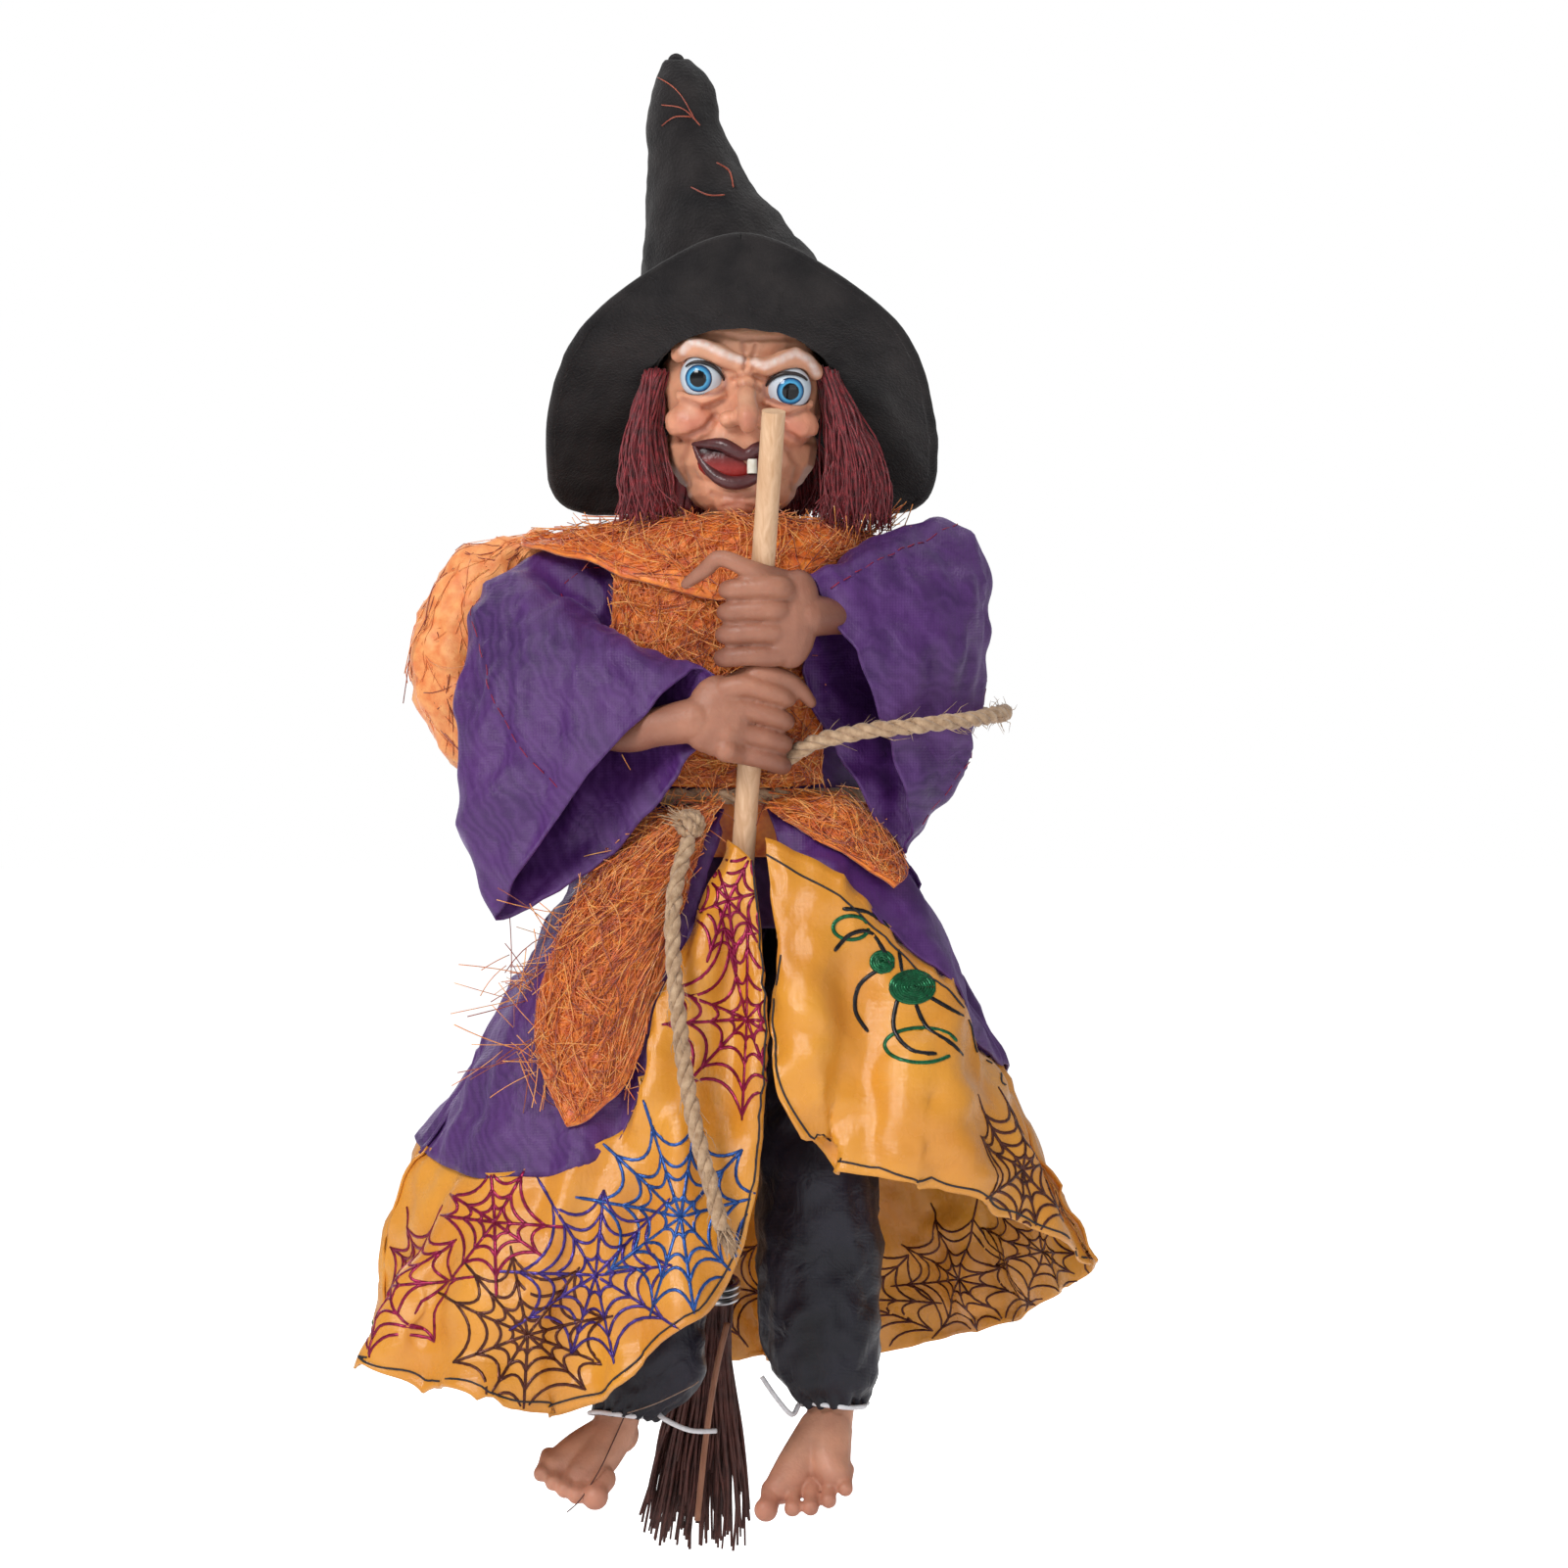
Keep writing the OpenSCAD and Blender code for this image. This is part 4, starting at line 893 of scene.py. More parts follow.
TAFFETA = taffeta()
SATIN = satin()
SKIRT = {
    "skirt_back": [
        [[-31.5, 0, -62], [-27, 14, -62], [-14, 21.5, -62], [0, 23, -62], [14, 21.5, -62], [27, 14, -62],
         [31.5, 0, -62]],
        [[-52, -1, -100], [-44, 24, -100], [-22, 36, -100], [0, 39, -100], [22, 36, -100], [42, 24, -97],
         [47, -1, -92]],
        [[-79, -2, -143], [-62, 34, -144], [-32, 50, -146], [0, 54, -147], [32, 50, -146], [56, 32, -138],
         [63, -2, -124]]],
    "skirt_left": [
        [[-31.6, -1.5, -62], [-28.5, -10.5, -62], [-22, -16.5, -62], [-13, -21, -62.5], [-4, -22.8, -63]],
        [[-52, -3, -98], [-49, -18, -100], [-40, -28, -98], [-24, -32, -88], [-5, -25, -66]],
        [[-79, -4, -143], [-71, -22, -147], [-56, -34, -150], [-28, -42, -139], [-6, -25.4, -69]]],
    "skirt_right": [
        [[31.6, -1.5, -62], [28.5, -10.5, -62], [22, -16.5, -62], [14, -20.5, -62.5], [6, -22.8, -63]],
        [[47, -3, -90], [43, -16, -84], [34, -24, -76], [22, -27, -70], [7.5, -25, -66]],
        [[63, -4, -124], [57, -20, -116], [46, -31, -102], [26, -34, -81], [9, -27.5, -71]]],
}
HEM = {
    "hem_back": [
        [[-79.5, -2, -145], [-62, 34, -146], [-32, 50, -148], [0, 54, -149], [32, 50, -148], [56, 32, -140],
         [63.5, -2, -126]],
        [[-85, -2, -170], [-68, 36, -172], [-34, 54, -173], [0, 57.5, -174], [34, 54, -173], [63, 34, -164],
         [75, -2.5, -150]],
        [[-90.5, -2, -194], [-73, 38, -196], [-36, 56, -198], [0, 60, -199], [36, 57, -197], [69, 36, -186],
         [83.5, -3, -172]]],
    "hem_left": [
        [[-79.5, -4, -145], [-71, -22, -149], [-56, -35, -152], [-29, -43, -141], [-19, -41, -113],
         [-10, -36, -91], [-1, -31.5, -71.5]],
        [[-85, -4, -170], [-77, -24, -174], [-62, -38, -176], [-34, -47, -174], [-10, -47, -140],
         [-2, -40, -104], [1, -32.5, -73]],
        [[-90.5, -4, -194], [-83, -25, -197], [-65, -41, -200], [-38, -50, -203], [-3, -51, -173],
         [6, -44, -124], [3, -33.5, -75]]],
    "hem_right": [
        [[63.5, -4, -126], [57.5, -21, -118], [46.5, -32, -104], [26, -36, -83], [12, -35, -75],
         [6, -33.5, -72.5]],
        [[75, -4, -150], [68, -28, -142], [50, -42, -130], [26, -46, -116], [12, -42, -100],
         [7.5, -37, -84]],
        [[83.5, -5, -172], [72, -30, -162], [48, -46, -152], [20, -50, -145], [8.5, -46, -125],
         [9.5, -39, -98]]],
}


THIN = 0.6 * MM  # the thickness of the dress and trouser cloth


def cloth_piece(name, node, grid, t, material, closed=False, body="torso"):
    """A thick sheet of cloth."""
    obj = sheet_piece(name, grid, t, material, body, (node,) if node else (), closed)
    return obj


def tucked(grid):
    """A grid with its side edges carried on three millimetres, under the panels beside it."""
    away = outward(grid)
    for edge, step in ((0, 1), (-1, -2)):
        way = grid[:, edge] - grid[:, step]
        way /= np.linalg.norm(way, axis=1, keepdims=True)
        extra = grid[:, edge] + way * 3.0 * MM - away[:, edge] * 0.9 * MM
        grid[:, edge] -= away[:, edge] * 0.6 * MM
        pair = [extra[:, None], grid] if edge == 0 else [grid, extra[:, None]]
        grid = np.concatenate(pair, axis=1)
        away = outward(grid)
    return grid


def make_skirts():
    parts = {}
    size = {"skirt_back": (16, 22), "skirt_left": (18, 18), "skirt_right": (14, 14)}
    for name, net in SKIRT.items():
        down, across = size[name]
        grid = drape(net, down, across, 0.9)
        if name == "skirt_back":
            grid = tucked(grid)
        parts[name] = grid
        cloth_piece(name + "_taffeta", name, grid, THIN, TAFFETA)
    size = {"hem_back": (14, 24), "hem_left": (16, 20), "hem_right": (16, 18)}
    for name, net in HEM.items():
        down, across = size[name]
        grid = hem_folds(name, drape(net, down, across, 1.0))
        if name == "hem_back":
            grid = tucked(grid)
        if name == "hem_left":
            grid = clear_knee(grid)
        rise = grid[0] - grid[1]
        rise /= np.linalg.norm(rise, axis=1, keepdims=True)
        away = outward(grid)[0] * MM
        top = grid[0] + rise * 3.4 * MM - away
        under = top * 0.4 + (grid[0] - away * 0.9) * 0.6
        parts[name] = np.concatenate([top[None], under[None], grid[1:]])
        obj = cloth_piece(name + "_satin", name, parts[name], THIN, SATIN)
        parts[name + "_obj"] = obj
    return parts


def clear_knee(grid):
    """The left hem eased forward where the left trouser swings."""
    knee, reach, ease = at([-27, -28, -182]), 22 * MM, 2.6 * MM
    near = np.exp(-(((grid - knee) / reach) ** 2).sum(axis=2))
    return grid - near[..., None] * np.array([0, ease, 0])


def hem_folds(name, grid):
    """Deeper folds towards the free edge of a hem: the left front lobe and the rolled right flap."""
    rows, cols = grid.shape[:2]
    u = np.linspace(0, 1, rows)[:, None]
    v = np.linspace(0, 1, cols)[None]
    if name == "hem_back":
        lift = 2.4 * u ** 1.5 * np.sin(v * TURN * 5 + 0.6)
    elif name == "hem_left":
        lift = 6.0 * u ** 1.2 * (spread(v, 0.36, 0.055) - spread(v, 0.25, 0.05)
                                 + 0.9 * spread(v, 0.15, 0.045)
                                 - 1.1 * spread(v, 0.47, 0.05)
                                 + 0.7 * spread(v, 0.58, 0.05)) + 1.6 * np.sin(9 * u) * spread(v, 0.8, 0.12)
    else:
        lift = 6.5 * u * (spread(v, 0.46, 0.06) - spread(v, 0.60, 0.05)) - 4.0 * u * spread(v, 0.30, 0.05)
        lift = lift + 3.0 * u ** 3 * spread(v, 0.75, 0.10) + 1.4 * np.sin(8 * u + 5 * v) * u
    return raised(grid, lift)


CLOTH = make_skirts()

# ---------- bodice, sleeves and trousers ----------


def make_bodice():
    rows = [[-6, 13, 12.5, 0], [-7.6, 28, 19, 0.4], [-12, 31, 22.2, 0.8], [-24, 31, 22.2, 0.8],
            [-36, 31, 22.2, 0.8],
            [-61, 31, 22.2, 0.8]]
    net = []
    for z, rx, ry, y in rows:
        slit = 3.4 / rx if z > -20 else 0.004
        ang = np.linspace(math.pi / 2 + slit, 2.5 * math.pi - slit, 25)
        net.append([(rx * math.cos(a), y + ry * math.sin(a), z) for a in ang])
    grid = at(refine(np.array(net), 8, 4))
    grid = raised(grid, 0.5 * ripple(grid, 41, 0.03, 3))
    cloth_piece("bodice_taffeta", "dress_bodice", grid, THIN, TAFFETA)


def make_sleeves():
    left = [[[-27.5, 0, -3], [-27.5, 0, -26], 11], [[-34, 0, -2], [-35, 0, -27], 11],
            [[-47, -6, -5], [-58, -8, -25], 11],
            [[-38, -20, -16], [-65, -14, -50], 12], [[-26, -31, -23], [-65, -19, -68], 11],
            [[-11, -39, -29], [-56, -27, -88], 8]]
    right = [[[27.5, 0, -2], [27.5, 0, -26], 11], [[34, 0, 0.5], [35, 0, -27], 11],
             [[45, -5, 4], [53, -7, -24], 11],
             [[36, -18, 2], [53.5, -14, -45], 12], [[25, -30, -2], [49, -20, -58], 11],
             [[15, -39.4, -7], [39.5, -25, -73], 9.6]]
    for side, rings, seed, flap in (("left", left, 51, (15, -9, 4)), ("right", right, 61, (-2, -2, -2))):
        net = tube_net(rings, flap)
        grid = at(refine(net, 14, 5, True))
        grid = crumple(grid, seed, 38, 2.2, 1.2)
        CLOTH["sleeve_" + side] = grid
        cloth_piece("sleeve_%s_taffeta" % side, "sleeve_" + side, grid, THIN, TAFFETA,
                    closed=True)


def pucker(u):
    """How deep the gathers are, from the waist of a trouser leg at 0 to its ankle at 1."""
    return 0.75 * np.clip((u - 0.86) / 0.14, 0, 1) + 0.5 * np.clip((0.12 - u) / 0.12, 0, 1)


def make_trousers():
    satin_black = trouser_satin()
    left = [(-15, -2, -87, 9, 11), (-18, -4, -106, 11, 14), (-22, -7, -128, 13, 14),
            (-23.6, -9.4, -150, 12.8, 11.4),
            (-22.6, -13.0, -172, 14.2, 9.0), (-22.4, -13.2, -190, 14.2, 9.0), (-23.2, -13, -201, 12.4, 8.4),
            (-28.2, -12, -207, 7.4, 7.4)]
    right = [(15, -2, -87, 9, 11), (16.5, -4, -106, 12, 14), (17.6, -6, -128, 13.6, 14.5),
             (18, -8, -150, 14.2, 14.5),
             (18.6, -9, -172, 14.4, 14), (19, -9.6, -188, 14, 13), (20.4, -10, -199, 11.4, 10.4),
             (22, -10, -205, 7.4, 7.4)]
    for side, rows, seed in (("left", left, 71), ("right", right, 81)):
        grid = at(refine(level_net(rows), 11, 5, True))
        grid = crumple(grid, seed, 26, 0.9, 0.6, 15, pucker)
        cloth_piece("trouser_%s_satin" % side, "trouser_" + side, grid, THIN, satin_black,
                    closed=True, body="leg_" + side)


make_bodice()
make_sleeves()
make_trousers()

# ---------- orange fibre shawl, tail and apron ----------

FIBRE = fibre("orange_fibre", (0.64, 0.085, 0.003), (0.97, 0.29, 0.016))
PALE = fibre("pale_orange_fibre", (0.80, 0.20, 0.035), (0.93, 0.40, 0.12), 0.5)
TINSEL = fibre("copper_tinsel", (0.78, 0.130, 0.008), (1.0, 0.50, 0.12), 0.2)
RUSTY = fibre("rust_strand", (0.20, 0.018, 0.006), (0.48, 0.065, 0.010), 0.35)


def fibre_cloth(name, node, grid, seeds, strands):
    """A thin base sheet under a mat of strands in three colours, the strands going with the sheet."""
    thickness, long = 0.9 * MM, 16
    extra = []
    for label, number, material, thin, lift, poke in (("mat", strands[0], FIBRE, 0.16, 1.0, 0.10),
                                                      ("tinsel", strands[1], TINSEL, 0.13, 1.6, 0.55),
                                                      ("rust", strands[2], RUSTY, 0.13, 1.3, 0.35)):
        lifted = grid + outward(grid) * thickness * 0.5
        face_out = (normals(lifted) * outward(lifted)).sum() > 0
        rows = lifted if face_out else lifted[:, ::-1]
        paths, radii = wisps(rows, number, seeds + len(extra), long, lift, thin, None, poke)
        extra.append(tubes("%s_%s" % (name, label), paths, radii, material, "torso", (), 3))
    obj = sheet_piece(name, grid, thickness, FIBRE, "torso", (node,))


def make_collar():
    ang = np.arange(12) * TURN / 12
    inner = np.stack([13.5 * np.cos(ang), 13 * np.sin(ang), np.full(12, 4.6)], axis=1)
    middle = np.stack([np.where(np.cos(ang) < 0, 33, 25) * np.cos(ang), 21 * np.sin(ang), np.full(12, 4.2)],
                      axis=1)
    outer = np.array([[33, 0, 2], [29, 13, -2], [17, 23, -14], [0, 26, -20], [-22, 24, -14], [-45, 14, -1],
                      [-53, 1, 0.5],
                      [-42, -14, -2], [-22, -25, -9], [-3, -27, -13], [14, -25.6, -9], [27, -15, -2]])
    grid = at(joined(refine(np.stack([inner, middle, outer]), 7, 7, True)))
    grid[..., 2] += 0.9 * MM * ripple(grid, 91, 0.02, 3)
    fibre_cloth("shawl_collar_mesh", "shawl_collar", grid[::-1], 100, (1100, 460, 120))


def make_shawl_front():
    net = [[[-30, -17.2, -5], [-20, -21.4, -6], [-6, -23, -8], [8, -23, -7], [18, -20, -6]],
           [[-31, -17.5, -32], [-21, -23, -34], [-6, -25.6, -36], [8, -25.2, -36], [19, -20.6, -34]],
           [[-27, -18.2, -56], [-18, -22.4, -57], [-6, -24, -57.4], [8, -24, -57.4], [19, -20.6, -56.5]]]
    grid = at(refine(net, 10, 8))
    grid = raised(grid, 0.6 * ripple(grid, 95, 0.02, 3))
    fibre_cloth("shawl_front_mesh", "shawl_front", grid, 120, (900, 360, 120))


def make_tail():
    """The loose wing of the shawl behind the left sleeve: a flattened bag of pale mesh with fold lines."""
    rings = [([-44, 8, 2.4], [-0.3, 0, 0.5], 0.8), ([-47, 9, 2], [-1.4, 0, 2.6], 4.4),
             ([-55, 13, -1.5], [-2.4, 0, 4], 5.6), ([-61, 14, -9], [-9, 0, 7], 8.5),
             ([-65, 15, -22], [-13.5, 0, 4], 10),
             ([-64.5, 15, -34], [-14.5, 0, -2], 10), ([-60, 15, -44], [-10, 0, -7], 8),
             ([-54, 14, -48], [-4, 0, -5], 4),
             ([-52, 13.6, -49.6], [-0.6, 0, -0.7], 0.7)]
    ang = np.arange(16) * TURN / 16
    net = np.array([np.asarray(c) + np.cos(ang)[:, None] * np.asarray(a)
                    + np.sin(ang)[:, None] * np.array([0, d, 0])
                    for c, a, d in rings])
    grid = at(refine(net, 7, 5, True))
    grid = crumple(grid, 131, 22, 0.7, 0.8)
    ring = joined(grid)
    away = ring - ring.reshape(-1, 3).mean(axis=0)
    flip = ring if (normals(ring) * away).sum() > 0 else ring[:, ::-1]
    extra = []
    for label, number, material, thin in (("mat", 420, PALE, 0.14), ("rust", 170, RUSTY, 0.14),
                                          ("tinsel", 60, TINSEL, 0.1)):
        paths, radii = wisps(flip, number, 140 + len(extra), 20, 0.7, thin, 0.2, 0.06)
        extra.append(tubes("shawl_tail_" + label, paths, radii, material, "torso", (), 3))
    obj = sheet_piece("shawl_tail_mesh", grid, 0.8 * MM, PALE, "torso", ("shawl_tail",), True)


def apron_grid(net, sign, table):
    """A patch of the skirt's own surface, two millimetres outside it: the table has one (row, first column,
    last column) of the skirt's finer net for each of the patch's own rows."""
    fine = refine(net, 4, 3)
    face = normals(fine) * sign
    n_rows, n_cols = fine.shape[:2]
    points = 8
    rows = []
    for row, a, b in table:
        v = np.linspace(a, b, points) / (n_cols - 1)
        u = np.full(points, row / (n_rows - 1))
        rows.append(sample(fine, u, v, 2.0, face))
    return at(refine(np.array(rows), 5, 4))


def make_apron():
    left = apron_grid(SKIRT["skirt_left"], 1,
                      [[0.6, 6, 12], [1.6, 5.4, 12], [3, 5, 11.6], [4.4, 5.4, 11], [5.6, 6, 10.4],
                       [7, 7.6, 9.4]])
    right = apron_grid(SKIRT["skirt_right"], -1,
                       [[0.6, 4, 12], [1.6, 4, 12], [3, 4.6, 11.6], [4.4, 5.6, 11], [5.6, 7, 10]])
    for name, grid, seed, strands in (("apron_left", left, 150, (1300, 320, 200)),
                                      ("apron_right", right, 160, (900, 160, 80))):
        u = np.linspace(0, 1, grid.shape[0])[:, None]
        v = np.linspace(0, 1, grid.shape[1])[None]
        puff = 2.8 * np.sin(math.pi * np.clip(u * 1.1, 0, 1)) * np.sin(math.pi * v)
        grid = raised(grid, 0.8 + puff + 0.8 * ripple(grid, seed, 0.02, 3))
        fibre_cloth(name + "_mesh", name, grid, seed, strands)


def make_sprays():
    """Loose tinsel that stands away from the mesh. A bunch is (from, to, spread, strands, length, main
    direction), in mm."""
    bunches = [((-36, -14, 0), (-6, -26, -8), 2, 80, 9, (-0.2, -0.3, 0.9)),
               ((4, -26, -8), (33, -13, 0), 2, 80, 9, (0.3, -0.3, 0.9)),
               ((25, -10, 3), (37, -5, 4), 1.6, 60, 8, (0.6, -0.3, 0.5)),
               ((-24, -24, -58), (22, -24, -58), 2, 90, 9, (0.1, -0.7, 0.5)),
               ((-14, -27, -20), (12, -26, -30), 3, 70, 9, (0.1, -0.8, 0.3)),
               ((-24, -20, -64), (-12, -26, -70), 3, 50, 10, (-0.3, -0.6, -0.5))]
    rng = np.random.default_rng(77)
    skirt = CLOTH["skirt_left"]
    for u, v, count, length, aim in ((0.45, 0.45, 46, 17, (0.3, -0.3, 0.1)),
                                     (0.55, 0.28, 40, 18, (0.2, -0.3, 0.0)),
                                     (0.34, 0.55, 40, 14, (0.5, -0.3, -0.3)),
                                     (0.72, 0.5, 34, 15, (-0.1, -0.3, -0.5)),
                                     (0.9, 0.78, 26, 8, (0.0, -0.3, -0.9))):
        root = sample(skirt, np.array(u), np.array(v)) / MM - [0, TORSO_Y / MM, 0]
        bunches.append((root + [-4, -1.5, 4], root + [4, -2.5, -4], 2.6, count, length, aim))
    for material, share, label in ((TINSEL, 0.8, "bright"), (RUSTY, 0.25, "dark")):
        paths, radii = [], []
        for start, stop, loose, count, length, aim in bunches:
            for _ in range(int(count * share)):
                t = rng.uniform()
                root = np.array(start) * (1 - t) + np.array(stop) * t
                root = root + rng.normal(0, loose, 3) * [1, 0.3, 1]
                way = np.array(aim) + rng.normal(0, 0.65, 3) * [1, 0.35, 1]
                way /= np.linalg.norm(way)
                reach = length * rng.uniform(0.4, 1.15)
                bend = rng.normal(0, 0.12, 3) * reach
                s = np.linspace(0, 1, 6)[:, None]
                paths.append(at(root + way * reach * s + bend * s * s))
                radii.append(np.full(6, 0.13 * MM) * rng.uniform(0.7, 1.1))
        tubes("tinsel_spray_" + label, paths, radii, material, "torso", (), 4)


def make_lining():
    """The skirt's lining across its front opening, between the mechanism and the broomstick."""
    net = [[[x, -16.6 - 0.02 * abs(x), z] for x in (-23, -12, 0, 12, 23)] for z in (-61, -72, -82, -91)]
    grid = at(refine(net, 6, 8))
    across = np.linspace(0, 9 * math.pi, grid.shape[1])[None]
    fold = 0.35 * np.sin(across) + 0.3 * ripple(grid, 176, 0.02, 2)
    grid = raised(grid, fold)
    cloth_piece("skirt_lining_taffeta", None, grid, 0.5 * MM, TAFFETA)


def make_bib():
    """Mesh that fills the front below the belt, behind the broomstick."""
    net = [[[-10, -21.2, -60], [0, -20.9, -60], [11, -21.2, -60]],
           [[-10, -21.2, -67], [0, -20.7, -67], [11, -21.2, -67]],
           [[-9, -21.2, -74], [0, -20.3, -74], [10, -21.2, -74]]]
    grid = at(refine(net, 6, 8))
    paths, radii = wisps(grid[:, ::-1], 240, 170, 12, 0.5, 0.16, None, 0.0)
    mat = tubes("apron_bib_mat", paths, radii, FIBRE, "torso", (), 3)
    obj = sheet_piece("apron_bib_mesh", grid, 0.6 * MM, FIBRE, "torso", ())


make_sprays()
make_lining()
make_bib()
make_collar()
make_shawl_front()
make_tail()
make_apron()

# ---------- hat ----------

FELT = felt()


def mirrored(half):
    return half + [[-x, y, z] for x, y, z in half[-2:0:-1]]


BAND = mirrored([[0, -22.5, 52], [12, -19.5, 50], [20, -11, 45], [23, 0, 38], [20, 12, 32], [12, 20, 29],
                 [0, 23, 28]])
BRIM_MID = mirrored([[0, -27, 62], [14, -26, 59], [29, -18, 50], [35, -3, 36], [32, 14, 24], [20, 28, 20],
                     [0, 33, 21]])
BRIM_EDGE = mirrored([[0, -27, 73], [20, -26, 65], [39, -19, 49], [45.5, -4, 28], [43, 14, 12],
                      [25, 33, 10.5], [0, 42, 14]])


def felt_noise(grid, seed, depth):
    """A closed grid with the lumps and pills of felt."""
    lump = ripple(grid, seed, 0.03, 3)
    pill = ripple(grid, seed + 1, 0.007, 2)
    return grid + normals(grid, True) * ((depth * lump + 0.25 * pill)[..., None] * MM)


def felt_piece(name, node, grid, t):
    return sheet_piece(name, grid, t, FELT, "head", (node,), True)


def make_crown():
    levels = [(-1, 0, 58, 23, 22.5), (-3, 1, 68, 20.5, 20), (-7, 1, 79, 15.5, 15), (-10.7, 1, 89, 11.5, 11),
              (-13.5, 1, 101, 8.5, 8), (-14.8, 1, 112, 6, 6), (-15.8, 1, 117, 2.6, 2.6)]
    start = -math.pi / 2
    ang = start + np.arange(12) * TURN / 12
    rings = [[(x + rx * math.cos(a), y + ry * math.sin(a), z) for a in ang] for x, y, z, rx, ry in levels]
    crown = at(refine(np.array([BAND] + rings), 12, 8, True))
    crown = felt_noise(crown, 171, 0.8)
    crown[-1] = crown[-1] * 0.35 + crown[-1].mean(axis=0) * 0.65
    tip = crown[-1].mean(axis=0)
    obj = felt_piece("hat_crown_felt", "hat_crown", crown, 1.5 * MM)
    cap = fused("hat_tip_felt", [((tip / MM - [0, TORSO_Y / MM, 0]), 2.2)], 0.5, FELT, "head")
    return crown, obj


def make_brim():
    inner = [[x * 1.02, y * 1.02, z] for x, y, z in BAND]
    brim = at(refine(np.array([inner, BRIM_MID, BRIM_EDGE]), 12, 10, True))
    brim = felt_noise(brim, 181, 0.7)
    obj = felt_piece("hat_brim_felt", "hat_brim", brim, 2.0 * MM)
    edge = np.concatenate([brim[-1], brim[-1][:1]])
    lip = tubes("hat_brim_edge", [edge], [np.full(len(edge), 1.25 * MM)], FELT, "head", (), 8)
    return brim


def make_hat():
    crown, obj = make_crown()
    brim = make_brim()
    paths, radii = [], []
    for grid, count, seed in ((crown, 420, 191), (brim, 620, 192), (brim[:, ::-1], 320, 193)):
        more, thin = wisps(joined(grid), count, seed, 6, 1.1, 0.05, None, 0.5)
        paths += more
        radii += thin
    tubes("hat_fuzz", paths, radii, FELT, "head", (), 3)
    threads = [[(-20, 113), (-15, 109), (-11, 102)], [(-19, 106), (-14, 105), (-10, 101)],
               [(-6, 92), (-3, 90), (-2, 86)],
               [(-12, 86), (-8, 84), (-4, 84)], [(-19, 101), (-16, 103), (-12, 103)]]
    lines = [smooth(t, 7) for t in threads]
    stamp("hat_threads", tree_of(obj), lines, from_front, 0.24, RUSTY, "head", 0.4)


make_hat()

# ---------- head ----------

SKIN = np.array([0.78, 0.375, 0.225])
EYES = {"left": ((-9.2, -15.6, 40.5), (-1.15, -5.2, -0.7)),
        "right": ((11.3, -15.6, 37.8), (0.5, -5.2, -1.1))}
LID_RADIUS, BALL_RADIUS = 5.8 * MM, 4.6 * MM  # skin over an eye, and the deepest skin in its opening
LIDS = {"left": ((-8.9, 40.1), 5.0, 3.3, -0.42), "right": ((11.0, 37.6), 5.2, 3.4, 0.12)}
BROWS = [[(-14, 46.5), (-12.2, 48.6), (-9, 48.2), (-5.4, 46.4), (-2.2, 45), (0.2, 44.2)],
         [(3.2, 43.8), (5.6, 42.8), (9.6, 44.4), (13, 46.2), (16.4, 44.4), (18, 41.4)]]
WRINKLES = [([(-6.4, 31.2), (-8.6, 28), (-12.6, 26), (-16.5, 25.6)], 0.75, 0.9),
            ([(8.8, 30.6), (11, 27), (14.2, 25), (17.4, 25.6)], 0.75, 0.9),
            ([(-12.6, 24.6), (-14.4, 20), (-12.6, 14.8)], 0.7, 0.5),
            ([(10.4, 24), (13.6, 19.4), (12, 14.4)], 0.7, 0.5),
            ([(0.2, 48.6), (0.9, 45), (0.6, 42.2)], 0.5, 0.6),
            ([(3.4, 47.8), (2.6, 44.6), (2.8, 42)], 0.5, 0.6),
            ([(-2, 40), (1.6, 41.2), (5.2, 39.6)], 0.5, 0.65),
            ([(-1, 37.8), (1.6, 38.8), (4.4, 37.2)], 0.5, 0.55),
            ([(-12, 51.4), (-4, 50.4), (1, 49.2), (6, 49.4), (12, 49.6)], 0.6, 0.45),
            ([(-14, 35.2), (-9.4, 33), (-4.2, 34.8)], 0.6, 0.6),
            ([(6.2, 33), (11.2, 30.8), (16, 33)], 0.6, 0.6),
            ([(-7, 12.6), (-1, 11.4), (5.4, 12.8)], 0.7, 0.5),
            ([(-4.4, 9.4), (-0.6, 10.2), (3.4, 9.2)], 0.6, 0.35)]


def far_from(points, line):
    """Distance seen from the front, in mm, from each point to a polyline of (x, z) corners."""
    xz = points[:, [0, 2]] / MM
    best = np.full(len(points), 1e9)
    for a, b in zip(line, line[1:]):
        a, b = np.array(a, float), np.array(b, float)
        t = np.clip(((xz - a) @ (b - a)) / ((b - a) @ (b - a)), 0, 1)
        best = np.minimum(best, np.linalg.norm(xz - a - t[:, None] * (b - a), axis=1))
    return best


def lid_ring(points, side):
    """Below 1 inside the slanted opening between the lids of one eye."""
    (x0, z0), a, b, turn = LIDS[side]
    dx, dz = points[:, 0] / MM - x0, points[:, 2] / MM - z0
    along = dx * math.cos(turn) + dz * math.sin(turn)
    up = -dx * math.sin(turn) + dz * math.cos(turn)
    return np.sqrt((along / a) ** 2 + (up / b) ** 2)


